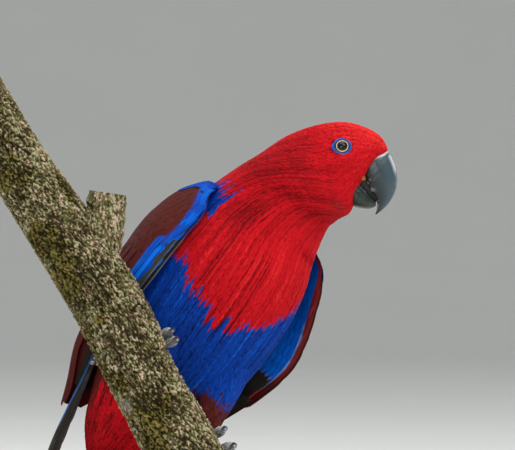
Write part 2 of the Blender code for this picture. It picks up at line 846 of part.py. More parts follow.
def stand_base(collection, material):
    bm = bmesh.new()
    bmesh.ops.create_cube(bm, size=1.0)
    bmesh.ops.scale(bm, verts=bm.verts, vec=tuple(s * MM for s in BASE_SIZE))
    bmesh.ops.translate(bm, verts=bm.verts, vec=(0, 0, BASE_SIZE[2] / 2 * MM))
    upright = [e for e in bm.edges if abs(e.verts[0].co.z - e.verts[1].co.z) > 1e-4]
    bmesh.ops.bevel(bm, geom=upright, offset=BASE_CORNER * MM, segments=6, affect="EDGES", profile=0.5)
    top = [e for e in bm.edges if min(v.co.z for v in e.verts) > (BASE_SIZE[2] - 0.1) * MM]
    bmesh.ops.bevel(bm, geom=top, offset=2.0 * MM, segments=2, affect="EDGES", profile=0.5)
    bmesh.ops.triangulate(bm, faces=bm.faces)
    mesh = bpy.data.meshes.new("stand_base")
    bm.to_mesh(mesh)
    bm.free()
    obj = bpy.data.objects.new("stand_base", mesh)
    collection.objects.link(obj)
    mesh.materials.append(material)
    return obj


# Whole model

def make_material(name, colour, roughness, metallic=0.0):
    material = bpy.data.materials.new(name)
    material.use_nodes = True
    shader = material.node_tree.nodes["Principled BSDF"]
    shader.inputs["Base Color"].default_value = (*colour, 1.0)
    shader.inputs["Roughness"].default_value = roughness
    shader.inputs["Metallic"].default_value = metallic
    return material


def main():
    for obj in list(bpy.data.objects):
        bpy.data.objects.remove(obj)
    parts = bpy.data.collections.new("eclectus_parrot")
    cutters = bpy.data.collections.new("cutters")
    for group in (parts, cutters):
        bpy.context.scene.collection.children.link(group)

    def coloured(name, colour, roughness=0.7, metallic=0.0):
        return make_material(name, COLOURS[colour], roughness, metallic)

    neck_mark, head_mark, forehead = body_marks()
    body_piece("torso", 0.0, neck_mark - 0.01, TORSO_RINGS, parts, coloured("torso", "blue"))
    body_piece("neck", neck_mark + 0.01, head_mark - 0.012, NECK_RINGS, parts, coloured("neck", "red"))
    head = body_piece("head", head_mark + 0.012, forehead, HEAD_RINGS, parts, coloured("head", "red"))

    bill("beak_upper", UPPER_BILL, UPPER_BILL_RINGS, parts, coloured("beak_upper", "horn", 0.4))
    lower = bill("beak_lower", LOWER_BILL, LOWER_BILL_RINGS, parts, coloured("beak_lower", "horn", 0.45))
    upper_space = bill("upper_space", UPPER_BILL, UPPER_BILL_RINGS, cutters, grow=GAP)
    lower_space = bill("lower_space", LOWER_BILL, LOWER_BILL_RINGS, cutters, grow=GAP)
    cut(lower, [upper_space])

    fuse(head, [lid_ring(side, parts) for side in (-1, 1)])
    sockets = [ball("socket", eye_centre(side), EYE_RADIUS + GAP, cutters) for side in (-1, 1)]
    cut(head, [upper_space, lower_space, *sockets])
    for side, name in ((-1, "eye_r"), (1, "eye_l")):
        ball(name, eye_centre(side), EYE_RADIUS, parts, coloured(name, "eye", 0.1))

    torso_space = body_piece("torso_space", 0.0, neck_mark, TORSO_RINGS, cutters, grow=GAP)
    neck_space = body_piece("neck_space", neck_mark - 0.02, head_mark + 0.1, NECK_RINGS, cutters, grow=GAP)
    tail = tail_core("tail", parts, coloured("tail", "red"))
    fuse(tail, tail_feathers(parts))
    tail_space = tail_core("tail_space", cutters, grow=GAP)

    for side, name in ((-1, "wing_r"), (1, "wing_l")):
        wing = wing_core(name, side, parts, coloured(name, "maroon"))
        fuse(wing, wing_feathers(side, parts))
        cut(wing, [torso_space, neck_space, tail_space])

    perch = perch_body("perch", parts, coloured("perch", "bark", 0.95))
    stub_rows = [(*(SHOULDER + (x, PERCH_Y, z)), radius) for x, z, radius in STUB_PATH]
    vertices, faces = tube(stub_rows, 12)
    fuse(perch, [new_object("stub", vertices, faces, parts)])
    perch_space = perch_body("perch_space", cutters, above=GAP)

    legs = (
        ("r", THIGH_RIGHT, FOOT_RIGHT_AT, TOES_RIGHT),
        ("l", THIGH_LEFT, FOOT_LEFT_AT, TOES_LEFT),
    )
    for name, table, at, toes in legs:
        leg = thigh(f"thigh_{name}", table, parts, coloured(f"thigh_{name}", "maroon"))
        cut(leg, [torso_space])
        heel = body_point(*table[-1][:3])
        ankle = perch_point(at, 0.0, ANKLE_ABOVE)
        heel = heel + unit(heel - ankle) * 3.0
        leg_space = thigh("leg_space", table, cutters, grow=GAP)
        grip = foot(f"foot_{name}", at, heel, toes, parts, coloured(f"foot_{name}", "skin", 0.8))
        sockets = [claw("claw_space", at, toe, cutters, grow=GAP) for toe in toes]
        cut(grip, [perch_space, leg_space, *sockets])
        for toe in toes:
            title = f"claw_{name}_{toe[0]}"
            claw(title, at, toe, parts, coloured(title, "horn", 0.4))

    stand_base(parts, coloured("stand_base", "board", 0.5))
    for number, (x, y) in enumerate(ROD_AT, 1):
        under = perch_underside(x)
        top = under + ROD_SOCKET
        name = f"stand_rod_{number}"
        steel = coloured(name, "metal", 0.3, 1.0)
        cylinder(name, x, y, BASE_SIZE[2] + GAP, top - GAP, ROD_RADIUS, parts, steel)
        hole = cylinder("rod_hole", x, y, BASE_SIZE[2], top, ROD_RADIUS + GAP, cutters)
        cut(perch, [hole])

    for cutter in cutters.objects:
        cutter.hide_render = True
        cutter.display_type = "WIRE"
    for obj in parts.objects:
        smooth_shading(obj)


main()
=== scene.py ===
"""Looks of the eclectus parrot: plumage, wings, tail, bill, eyes, feet, bark and stand.

Sizes are in millimetres, measured from SHOULDER, the point of the body axis between the
shoulders, and become metres when a mesh is made. TAILWARD, LEFT and BELLY are the body's own
directions. A place on the body is (station, theta): theta 0 is its left side, 90 its back, 180
its right side and 270 its belly, in degrees. Side is 1 on the left of the bird and -1 on its
right. Random numbers come from one seeded source, so their order matters.
"""

import math

import bpy
import numpy as np
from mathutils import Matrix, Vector, noise


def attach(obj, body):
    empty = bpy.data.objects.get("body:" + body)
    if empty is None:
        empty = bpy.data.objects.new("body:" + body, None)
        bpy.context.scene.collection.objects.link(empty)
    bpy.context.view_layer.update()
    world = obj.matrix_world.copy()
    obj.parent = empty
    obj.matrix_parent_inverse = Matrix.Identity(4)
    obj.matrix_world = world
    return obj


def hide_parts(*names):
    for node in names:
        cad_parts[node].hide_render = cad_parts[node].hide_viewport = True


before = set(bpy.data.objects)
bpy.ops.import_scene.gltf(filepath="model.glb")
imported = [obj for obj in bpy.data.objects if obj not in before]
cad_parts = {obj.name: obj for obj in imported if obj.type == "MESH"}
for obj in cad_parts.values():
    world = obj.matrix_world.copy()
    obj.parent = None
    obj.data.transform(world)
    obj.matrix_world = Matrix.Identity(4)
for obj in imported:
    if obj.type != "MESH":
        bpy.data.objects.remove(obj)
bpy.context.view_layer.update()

# Driving dimensions: the solids' own, in their order
MM = 0.001
SHOULDER = np.array((57.0, 30.0, 252.0))
TAILWARD = np.array((-0.537, 0.0, -0.843))
BELLY_HINT = np.array((0.455, -0.84, -0.29))
# (behind, half width, back height, belly height)
TAIL_CORE = (
    (187.0, 6.0, 3.0, 3.5), (180.0, 14.0, 6.5, 9.5), (170.0, 22.5, 11.5, 16.0),
    (160.0, 29.5, 16.5, 21.0),
)
TORSO = (
    (150.0, 34.0, 21.0, 25.0), (138.0, 38.0, 25.0, 29.0), (120.0, 43.0, 31.0, 34.0),
    (95.0, 48.0, 37.0, 41.0), (70.0, 51.0, 40.0, 45.5), (45.0, 51.0, 41.0, 47.5),
    (22.0, 47.0, 40.0, 46.0), (3.0, 41.0, 37.0, 41.0),
)
# (top x, top z, low x, low z, depth, half width, how far it has turned into the head's profile)
NECK_AND_HEAD = (
    (-13.0, 34.0, 38.5, -7.0, -8.0, 35.0, 0.25), (0.5, 43.0, 43.5, -2.5, -13.5, 32.5, 0.5),
    (15.0, 52.5, 49.5, 1.5, -18.0, 29.5, 0.8), (29.0, 58.0, 54.5, 4.5, -20.5, 27.0, 1.0),
    (42.5, 61.0, 57.0, 9.0, -21.5, 25.0, 1.0), (55.0, 61.0, 57.0, 13.0, -22.0, 22.0, 1.0),
    (65.0, 58.0, 59.2, 18.5, -22.0, 18.0, 1.0), (73.0, 53.5, 63.5, 26.0, -22.0, 14.0, 1.0),
    (77.5, 47.5, 69.0, 36.0, -22.0, 9.5, 1.0), (79.0, 43.5, 75.5, 40.5, -22.0, 4.0, 1.0),
)
TAIL_LIFT = -4.0
BILL_DEPTH_Y = -22.0
# (ridge x, ridge z, cutting edge x, cutting edge z, half width)
UPPER_BILL = (
    (76.5, 46.0, 62.5, 28.5, 8.6), (80.5, 41.5, 64.5, 25.0, 9.0), (83.2, 35.5, 66.0, 21.0, 8.8),
    (84.6, 28.5, 67.8, 17.6, 8.0), (84.2, 21.5, 70.2, 15.2, 6.6), (82.4, 16.0, 71.6, 12.8, 5.0),
    (79.2, 10.8, 72.0, 9.6, 3.5), (75.2, 6.8, 71.6, 6.4, 2.0), (71.6, 4.0, 70.8, 4.0, 0.8),
)
LOWER_BILL = (
    (60.5, 25.5, 53.6, 12.0, 10.4), (63.2, 21.8, 57.6, 8.8, 10.0), (65.6, 18.2, 62.6, 7.6, 9.0),
    (67.6, 15.4, 66.8, 7.4, 7.6), (69.8, 13.6, 69.6, 8.2, 5.8), (71.2, 11.8, 71.2, 9.4, 3.6),
)
EYE_X, EYE_Z, EYE_RADIUS, EYE_OUT = 49.9, 44.8, 5.6, 18.2
# Lines of the folded wing: (behind, out, belly)
WING_EDGE = np.array((
    (-4.0, 41.0, -1.0), (2.0, 48.0, 8.0), (14.0, 52.0, 20.0), (30.0, 56.5, 23.5), (48.0, 60.5, 26.0),
    (68.0, 62.5, 26.0), (95.0, 59.7, 16.4), (119.0, 55.2, 3.5), (145.0, 46.0, -6.0),
    (165.0, 41.0, -11.0), (190.0, 34.5, -14.5), (214.0, 25.0, -17.0),
))
WING_BULGE = np.array((
    (-4.0, 42.0, -9.0), (10.0, 53.0, -13.0), (30.0, 61.0, -16.0), (60.0, 64.5, -16.0),
    (100.0, 61.0, -18.0), (130.0, 50.0, -23.0), (150.0, 40.0, -23.5), (175.0, 31.0, -22.0),
    (195.0, 25.0, -20.0), (214.0, 17.0, -18.5),
))
WING_BACK = np.array((
    (-4.0, 38.0, -16.0), (8.0, 31.0, -34.0), (30.0, 21.0, -44.0), (60.0, 15.0, -47.0),
    (100.0, 11.0, -43.5), (130.0, 8.5, -37.0), (150.0, 7.0, -32.0), (175.0, 9.0, -27.0),
    (200.0, 12.0, -22.5), (214.0, 15.0, -20.5),
))
WING_CORE_END = 152.0
TAIL_TIP, TAIL_ROOT = 261.0, 158.0
TAIL_FEATHER_PAIRS = 6
TAIL_HALF_WIDTH, TAIL_SPREAD, TAIL_STEP = 7.6, 2.9, 0.95
# The branch's axis as (x, z, radius), from its lower cut end up
PERCH_Y = -84.0
PERCH_AXIS = (
    (-23.8, -187.8, 23.4), (-50.8, -133.7, 23.4), (-72.4, -95.1, 22.2), (-87.8, -60.8, 22.7),
    (-127.0, 3.6, 21.4), (-143.1, 27.3, 19.7), (-175.0, 80.0, 19.0),
)
STUB_PATH = ((-104.0, -36.0, 14.0), (-97.0, -10.0, 14.5), (-93.0, 17.0, 13.0))
# (behind, left, belly, radius)
THIGH_RIGHT = (
    (88.0, -18.0, 16.0, 18.0), (101.0, -28.0, 22.5, 14.5), (110.0, -34.5, 25.5, 9.5),
    (114.5, -38.0, 27.5, 5.6),
)
THIGH_LEFT = (
    (84.0, 20.0, 18.0, 20.0), (102.0, 19.0, 34.0, 13.2), (122.0, 15.0, 50.0, 7.6), (134.0, 12.0, 60.0, 5.8),
    (138.0, 10.5, 63.5, 5.4),
)
FOOT_RIGHT_AT, FOOT_LEFT_AT = 120.5, 48.0
FOOT_PAD_LENGTH = 13.0
ANKLE_ABOVE = 5.5
TOE_RADIUS, TOE_ARCH = 3.8, 3.6
# (name, place along the branch, angle where it starts, angle where it ends, share of full size)
TOES_RIGHT = (
    ("inner", 3.1, 8.0, 80.0, 0.92), ("middle", -3.1, 8.0, 84.0, 1.0),
    ("outer_back", 4.0, -8.0, -58.0, 0.98), ("hind", -4.5, -8.0, -46.0, 0.88),
)
TOES_LEFT = (
    ("inner", 5.6, 8.0, 84.0, 0.92), ("middle", -5.6, 8.0, 86.0, 1.0),
    ("outer_back", -5.0, -8.0, -72.0, 0.98), ("hind", 5.0, -8.0, -56.0, 0.88),
)
CLAW_LENGTH, CLAW_ORBIT = 11.0, 26.0

# Camera: at the photograph's angle and distance
CAMERA_AT = (0.05481, -2.970, 0.2495)
CAMERA_LENS = 335.5
CAMERA_SENSOR = 36.0

# Plumage colours, linear: (mark, deep, middle, bright)
PLUMAGE = (
    (None, (0.20, 0.001, 0.003), (0.60, 0.004, 0.011), (0.90, 0.040, 0.034)),
    ("maroon", (0.026, 0.004, 0.004), (0.084, 0.012, 0.009), (0.20, 0.030, 0.024)),
    ("blue", (0.001, 0.010, 0.09), (0.001, 0.050, 0.38), (0.003, 0.19, 0.90)),
    ("flight", (0.010, 0.010, 0.008), (0.045, 0.044, 0.034), (0.58, 0.64, 0.66)),
)
BLACK = (0.0, 0.0, 0.0)

rng = np.random.default_rng(20)


def unit(vectors):
    """The vector, or each row of vectors, at length 1."""
    vectors = np.asarray(vectors, float)
    return vectors / np.linalg.norm(vectors, axis=-1, keepdims=True)


TAILWARD = unit(TAILWARD)
BELLY = unit(BELLY_HINT - TAILWARD * np.dot(BELLY_HINT, TAILWARD))
LEFT = unit(np.cross(BELLY, TAILWARD))
UP = np.array((0.0, 0.0, 1.0))
FAR = np.array((0.0, 1.0, 0.0))


# Curves and grids

def smooth(knots, values, at):
    """Cubic curve through the values, with the slopes of their neighbours, at each of at."""
    knots, values, at = (np.asarray(v, float) for v in (knots, values, at))
    slopes = np.gradient(values, knots, axis=0)
    i = np.clip(np.searchsorted(knots, at) - 1, 0, len(knots) - 2)
    span = (knots[i + 1] - knots[i])[..., None]
    t = (at - knots[i])[..., None] / span
    start = values[i] * (2 * t**3 - 3 * t**2 + 1) + slopes[i] * span * (t**3 - 2 * t**2 + t)
    end = values[i + 1] * (3 * t**2 - 2 * t**3) + slopes[i + 1] * span * (t**3 - t**2)
    return start + end


def resample(rows, count):
    return smooth(np.arange(len(rows)), rows, np.linspace(0, len(rows) - 1, count))


def ramp(at, table):
    """Straight runs between the (place, value) pairs of the table."""
    rows = np.array(table)
    return np.interp(at, rows[:, 0], rows[:, 1])


def step(low, high, at):
    """0 below low, 1 above high, and smooth between. With low above high it falls."""
    t = np.clip((np.asarray(at) - low) / (high - low), 0, 1)
    return t * t * (3 - 2 * t)


def bell(offset, width):
    """1 at no offset, falling off over the width."""
    return np.exp(-((offset / width) ** 2))


def shares(count):
    return np.linspace(0, 1, count)


def circle(count):
    """Angles once round, in radians."""
    return np.linspace(0, 2 * math.pi, count, endpoint=False)


def inside(share):
    """A share moved inside the margin of a UV square."""
    return share * 0.96 + 0.02


def body_point(behind, left, belly):
    behind, left, belly = (np.asarray(v, float)[..., None] for v in (behind, left, belly))
    return SHOULDER + behind * TAILWARD + left * LEFT + belly * BELLY


def how_far_behind(points):
    return (points - SHOULDER) @ TAILWARD


# Meshes and pieces

def make_mesh(name, points, faces, material, marks=None, uv=None):
    """Object from arrays: points in mm, faces as rows of point numbers, marks by name."""
    mesh = bpy.data.meshes.new(name)
    faces = np.asarray(faces, np.int32)
    count, sides = faces.shape
    mesh.vertices.add(len(points))
    mesh.vertices.foreach_set("co", (np.asarray(points) * MM).astype(np.float32).ravel())
    mesh.loops.add(count * sides)
    mesh.loops.foreach_set("vertex_index", faces.ravel())
    mesh.polygons.add(count)
    mesh.polygons.foreach_set("loop_start", np.arange(0, count * sides, sides, dtype=np.int32))
    mesh.polygons.foreach_set("use_smooth", np.full(count, True))
    for key, values in (marks or {}).items():
        layer = mesh.attributes.new(key, "FLOAT", "POINT")
        layer.data.foreach_set("value", np.asarray(values, np.float32).ravel())
    if uv is not None:
        layer = mesh.uv_layers.new(name="OFBake")
        layer.data.foreach_set("uv", np.asarray(uv, np.float32)[faces.ravel()].ravel())
    mesh.update(calc_edges=True)
    mesh.validate()
    mesh.materials.append(material)
    return add_object(name, mesh)


def add_object(name, data):
    obj = bpy.data.objects.new(name, data)
    bpy.context.scene.collection.objects.link(obj)
    return obj


def place(obj, slot, *nodes):
    """The piece rides with the body and stands for these nodes. slot, its finish, is not used."""
    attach(obj, "root")
    if nodes:
        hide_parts(*nodes)


def grid_faces(rows, columns, closed):
    """Quads of a grid of points, with the last column joined to the first when closed."""
    r = np.arange(rows - 1)[:, None] * columns
    c = np.arange(columns if closed else columns - 1)[None, :]
    d = (c + 1) % columns
    return np.stack((r + c, r + d, r + columns + d, r + columns + c), -1).reshape(-1, 4)


def lofted(rings):
    """Points and outward triangles of the closed surface through rings, a middle point at each end."""
    count, sides, _ = rings.shape
    points = np.concatenate((rings.reshape(-1, 3), [rings[0].mean(0)], [rings[-1].mean(0)]))
    quads = grid_faces(count, sides, True)
    k = np.arange(sides)
    after = (k + 1) % sides
    base = (count - 1) * sides
    first = np.stack((np.full(sides, count * sides), after, k), -1)
    last = np.stack((np.full(sides, count * sides + 1), base + k, base + after), -1)
    triangles = np.concatenate((quads[:, (0, 1, 2)], quads[:, (0, 2, 3)], first, last))
    a, b, c = (points[triangles[:, k]] for k in range(3))
    inside_out = np.einsum("ij,ij->i", a, np.cross(b, c)).sum() < 0
    return points, triangles[:, ::-1] if inside_out else triangles


def loft_piece(name, rings, material, slot, *nodes, marks=None, uv=None):
    points, triangles = lofted(rings)
    full = {}
    for key, values in (marks or {}).items():
        values = np.asarray(values).reshape(len(rings), -1)
        full[key] = np.concatenate((values.ravel(), [values[0].mean()], [values[-1].mean()]))
    if uv is not None:
        uv = np.concatenate((uv.reshape(-1, 2), [uv[0].mean(0)], [uv[-1].mean(0)]))
    place(make_mesh(name, points, triangles, material, full, uv), slot, *nodes)


def core_marks(blue, maroon, shade, flight=0.0):
    """Marks of a plain feathered surface that lies under strands or vanes."""
    plain = {"maroon": maroon, "flight": flight, "shade": shade, "along": 0.5}
    return {"blue": blue, **{key: value + 0 * blue for key, value in plain.items()}}


def tube_rings(path, sides):
    """Round rings along rows of (x, y, z, radius), without twist from one to the next."""
    rows = np.asarray(path, float)
    along = unit(np.gradient(rows[:, :3], axis=0))
    side = np.cross(along[0], UP if abs(along[0][2]) < 0.9 else LEFT)
    rings = []
    angle = circle(sides)[:, None]
    for row, ahead in zip(rows, along):
        side = unit(side - ahead * np.dot(side, ahead))
        up = np.cross(side, ahead)
        rings.append(row[:3] + (side * np.cos(angle) + up * np.sin(angle)) * row[3])
    return np.array(rings)


# Materials

class Nodes:
    """Short calls for the nodes of one material."""

    def __init__(self, name):
        self.material = bpy.data.materials.new(name)
        self.material.use_nodes = True
        self.tree = self.material.node_tree
        self.shader = self.tree.nodes["Principled BSDF"]

    def node(self, kind, inputs, **values):
        made = self.tree.nodes.new(kind)
        for key, value in values.items():
            setattr(made, key, value)
        for key, value in inputs.items():
            self.put(made.inputs[key], value)
        return made

    def put(self, socket, value):
        if isinstance(value, bpy.types.NodeSocket):
            self.tree.links.new(value, socket)
        elif isinstance(value, tuple) and socket.type == "RGBA":
            socket.default_value = (*value, 1.0)
        else:
            socket.default_value = value

    def mix(self, amount, first, second):
        return self.node("ShaderNodeMix", {0: amount, 6: first, 7: second}, data_type="RGBA").outputs[2]

    def math(self, operation, first, second=0.0):
        return self.node("ShaderNodeMath", {0: first, 1: second}, operation=operation).outputs[0]

    def times(self, first, *others):
        for other in others:
            first = self.math("MULTIPLY", first, other)
        return first

    def plus(self, first, *others):
        for other in others:
            first = self.math("ADD", first, other)
        return first

    def between(self, value, low, high, first=0.0, second=1.0):
        """From first to second as the value goes from low to high."""
        inputs = dict(enumerate((value, low, high, first, second)))
        return self.node("ShaderNodeMapRange", inputs, interpolation_type="SMOOTHSTEP").outputs[0]

    def value(self, name):
        return self.node("ShaderNodeAttribute", {}, attribute_name=name).outputs["Fac"]

    def place(self, scale=(1.0, 1.0, 1.0)):
        """The object's own coordinates, stretched."""
        own = self.node("ShaderNodeTexCoord", {}).outputs["Object"]
        return self.node("ShaderNodeMapping", {"Vector": own, "Scale": scale}).outputs[0]

    def noise(self, scale, detail=4.0, rough=0.55, vector=None):
        inputs = {"Scale": scale, "Detail": detail, "Roughness": rough, "Vector": vector or self.place()}
        return self.node("ShaderNodeTexNoise", inputs).outputs["Fac"]

    def bump(self, height, distance, strength=1.0):
        made = self.node("ShaderNodeBump", {"Strength": strength, "Distance": distance, "Height": height})
        self.put(self.shader.inputs["Normal"], made.outputs[0])

    def finish(self, colour, roughness, **uniform):
        for key, value in {"Base_Color": colour, "Roughness": roughness, **uniform}.items():
            self.put(self.shader.inputs[key.replace("_", " ")], value)
        return self.material


def plumage_colour(n, tone):
    """Colour by the marks: each kind of plumage from deep through middle to bright by tone."""
    colour = None
    for mark, deep, middle, bright in PLUMAGE:
        shaded = n.mix(n.between(tone, 0.08, 0.50), deep, middle)
        shaded = n.mix(n.between(tone, 0.55, 1.0), shaded, bright)
        colour = shaded if mark is None else n.mix(n.value(mark), colour, shaded)
    return colour


def plumage_material(name):
    """Feather colours, each strand with its own shade, darker towards its root."""
    n = Nodes(name)
    tone = n.plus(n.times(n.value("shade"), 0.82), n.times(n.noise(40.0, 2.0), 0.18))
    colour = n.mix(n.between(n.value("along"), 0.0, 0.4, 0.5, 0.0), plumage_colour(n, tone), BLACK)
    return n.finish(colour, 0.7, Specular_IOR_Level=0.12)


def vane_material(name):
    """As the plumage, with a shaft, streaks along it and barbs slanting from it, from the vane's
    own marks: across runs -1 to 1, along 0 to 1."""
    n = Nodes(name)
    shade, along, across = n.value("shade"), n.value("along"), n.value("across")
    aside = n.math("ABSOLUTE", across)
    spread = {0: n.times(across, 5.0), 1: n.times(along, 1.6), 2: n.times(shade, 90.0)}
    streak = n.noise(1.0, 3.0, 0.6, n.node("ShaderNodeCombineXYZ", spread).outputs[0])
    slant = n.math("SUBTRACT", n.times(along, n.value("barbs")), n.times(aside, 5.0))
    wave = n.math("SINE", n.times(slant, 6.283))
    patch = n.noise(60.0, 3.0)
    tone = n.plus(n.times(shade, 0.30), n.times(patch, 0.25), n.times(streak, 0.50), n.times(wave, 0.03))
    colour = plumage_colour(n, tone)
    shaft = n.between(aside, 0.02, 0.07, 0.45, 0.0)
    colour = n.mix(shaft, colour, n.mix(0.8, colour, (0.01, 0.006, 0.006)))
    colour = n.mix(n.between(along, 0.0, 0.45, 0.5, 0.0), colour, BLACK)
    n.bump(n.plus(wave, n.times(streak, 2.0)), 0.00012, 0.6)
    return n.finish(colour, 0.65, Specular_IOR_Level=0.07)


def bill_material(name, top, low, tip, edge_from, edge_to):
    """Smooth dark horn: a pale rim at the feathers, growth lines, and worn, scratched edges. The colour
    runs from low at the cutting edge to top at the ridge; on the upper bill the lighter, bluish top is a
    painted sky reflection and a pale streak along the ridge a painted highlight, and on the lower bill the
    pale worn lip is also a painted highlight.
    height runs from the cutting edge, 0, to the ridge, 1, and along from the base to the tip."""
    n = Nodes(name)
    height, along = n.value("height"), n.value("along")
    mottled = n.noise(90.0, 5.0)
    fine = n.noise(900.0, 3.0)
    lines = n.noise(420.0, 2.0, 0.5, n.place((0.25, 1.0, 1.0)))
    # From low colour at the cutting edge to top colour at the ridge: on the upper bill the lighter, bluish
    # top is a painted sky reflection.
    colour = n.mix(n.between(height, 0.15, 0.8), low, top)
    greyed = n.mix(0.5, colour, (0.09, 0.10, 0.10))
    colour = n.mix(n.between(mottled, 0.35, 0.75, 0.0, 0.35), colour, greyed)
    colour = n.mix(n.between(along, 0.72, 1.0, 0.0, 0.8), colour, tip)
    # Pale scuffs: wear on the upper bill's cutting edge; on the lower bill's lip, wear and painted
    # highlight.
    scuffs_and_lip_highlight = n.times(n.between(lines, 0.50, 0.62), n.between(height, edge_from, edge_to, 0.0, 0.75))
    colour = n.mix(scuffs_and_lip_highlight, colour, (0.32, 0.35, 0.37))
    climb = n.between(height, 0.40, 0.90)
    rim_at = n.times(climb, climb, 0.075)
    rim = n.between(n.math("SUBTRACT", along, rim_at), 0.002, 0.016, 0.80, 0.0)
    rim = n.times(rim, n.between(height, 0.45, 0.65), n.between(along, 0.085, 0.10, 1.0, 0.0))
    # Painted highlight streaked along the upper bill's ridge.
    streak = n.times(n.between(height, 0.86, 0.94), n.between(height, 0.975, 0.995, 1.0, 0.0),
                     n.between(along, 0.10, 0.14), n.between(along, 0.26, 0.40, 0.6, 0.0))
    # pale: the cere's pale rim and the painted ridge highlight, on the upper bill only.
    pale = n.times(n.math("MAXIMUM", rim, streak), n.value("cere_and_ridge_highlight"))
    colour = n.mix(pale, colour, (0.60, 0.62, 0.64))
    n.bump(n.plus(n.times(fine, 0.3), lines), 0.00008, 0.5)
    rough = n.between(mottled, 0.3, 0.8, 0.30, 0.42)
    return n.finish(colour, rough, Coat_Weight=0.12, Coat_Roughness=0.20, Specular_IOR_Level=0.35)


EYE_RINGS = (
    (0.0, (0.002, 0.002, 0.003)), (0.40, (0.003, 0.003, 0.004)), (0.47, (0.018, 0.010, 0.006)),
    (0.570, (0.016, 0.010, 0.007)), (0.595, (0.66, 0.55, 0.40)), (0.655, (0.74, 0.66, 0.53)),
    (0.685, (0.03, 0.024, 0.026)), (1.0, (0.02, 0.015, 0.016)),
)


def eye_material():
    """Rings round the gaze: black pupil, dark brown iris, pale rim and a dark edge."""
    n = Nodes("eye_surface")
    ring = n.node("ShaderNodeValToRGB", {0: n.value("ring")})
    for at, _ in EYE_RINGS[:-2]:
        ring.color_ramp.elements.new(at)
    for element, (at, colour) in zip(ring.color_ramp.elements, EYE_RINGS):
        element.position = at
        element.color = (*colour, 1.0)
    fleck = n.noise(1500.0, 2.0)
    colour = n.mix(n.between(fleck, 0.4, 0.7, 0.0, 0.25), ring.outputs[0], (0.10, 0.06, 0.04))
    return n.finish(colour, 0.15, Coat_Weight=0.45, Coat_Roughness=0.03, Specular_IOR_Level=0.05)


def skin_material(name, base, dark, scale, roughness=0.6, grooved=False):
    """Bare scaly skin of the feet, the mouth and the lids."""
    n = Nodes(name)
    inputs = {"Vector": n.place(), "Scale": scale}
    cells = n.node("ShaderNodeTexVoronoi", inputs, feature="DISTANCE_TO_EDGE")
    gap = n.between(cells.outputs["Distance"], 0.0, 0.12)
    colour = n.mix(n.between(n.noise(160.0, 4.0), 0.3, 0.75), dark, base)
    colour = n.mix(gap, n.mix(0.6, colour, (0.01, 0.01, 0.012)), colour)
    if grooved:
        colour = n.mix(n.between(n.value("ridge"), 0.0, 0.45, 0.65, 0.0), colour, (0.02, 0.02, 0.024))
    n.bump(gap, 0.00018, 0.7)
    return n.finish(colour, roughness, Specular_IOR_Level=0.4)


def claw_material():
    n = Nodes("claw_horn")
    lines = n.noise(700.0, 3.0, 0.5, n.place((1.0, 0.3, 1.0)))
    n.bump(lines, 0.00006, 0.5)
    colour = n.mix(n.between(lines, 0.35, 0.7), (0.010, 0.011, 0.013), (0.05, 0.052, 0.056))
    return n.finish(colour, 0.28, Coat_Weight=0.4, Coat_Roughness=0.2)


def bark_material():
    """Rough bark: dark cracks, olive sides, pale grains on top and moss in patches. The moss mark also
    darkens the branch's side towards the camera's left: painted shade.
    """
    n = Nodes("bark_surface")
    height = n.value("height")
    grain = n.noise(650.0, 5.0, 0.7)
    cloud = n.noise(45.0, 4.0)
    tint = n.noise(160.0, 3.0)
    low = n.mix(n.between(cloud, 0.35, 0.65), (0.016, 0.012, 0.004), (0.040, 0.028, 0.012))
    middle = n.mix(n.between(tint, 0.35, 0.65), (0.100, 0.092, 0.030), (0.145, 0.105, 0.050))
    high = n.mix(n.between(tint, 0.42, 0.62), (0.36, 0.35, 0.20), (0.56, 0.43, 0.31))
    level = n.plus(height, n.times(n.math("SUBTRACT", grain, 0.5), 1.3))
    colour = n.mix(n.between(level, 0.30, 0.58), low, middle)
    colour = n.mix(n.between(level, 0.60, 0.92), colour, high)
    # Moss colours, dark in the low places; where the moss mark stands for the shadow side it is painted
    # shade.
    green = n.mix(n.between(level, 0.35, 0.85), (0.012, 0.009, 0.001), (0.15, 0.115, 0.010))
    colour = n.mix(n.times(n.value("moss_and_shade"), 0.80), colour, green)
    pale = n.mix(n.between(grain, 0.35, 0.65), (0.07, 0.065, 0.05), (0.30, 0.28, 0.24))
    colour = n.mix(n.times(n.value("knob"), 0.65), colour, pale)
    n.bump(n.plus(grain, n.times(height, 0.5)), 0.0006, 0.8)
    return n.finish(colour, 0.92, Specular_IOR_Level=0.15)


def cut_wood_material():
    """Sawn end of the branch: rings round the pith, inside dark bark."""
    n = Nodes("cut_wood")
    radius = n.value("radius")
    rings = n.math("SINE", n.times(n.plus(radius, n.times(n.noise(60.0, 3.0), 0.12)), 70.0))
    colour = n.mix(n.between(rings, -0.6, 0.9), (0.42, 0.29, 0.16), (0.25, 0.155, 0.08))
    colour = n.mix(n.between(radius, 0.86, 0.95), colour, (0.07, 0.05, 0.03))
    colour = n.mix(n.between(radius, 0.0, 0.12, 0.6, 0.0), colour, (0.12, 0.07, 0.035))
    n.bump(rings, 0.0001, 0.4)
    return n.finish(colour, 0.75)


def board_material():
    """Oiled dark wood of the stand's base, its grain running along the board."""
    n = Nodes("stand_board")
    grain = n.noise(60.0, 6.0, 0.6, n.place((0.06, 1.0, 1.0)))
    fine = n.noise(500.0, 3.0, 0.6, n.place((0.05, 1.0, 1.0)))
    colour = n.mix(n.between(grain, 0.32, 0.68), (0.030, 0.014, 0.007), (0.105, 0.052, 0.026))
    colour = n.mix(n.between(fine, 0.45, 0.7, 0.0, 0.35), colour, (0.015, 0.007, 0.004))
    n.bump(fine, 0.0001, 0.5)
    return n.finish(colour, 0.38, Coat_Weight=0.25, Coat_Roughness=0.25)


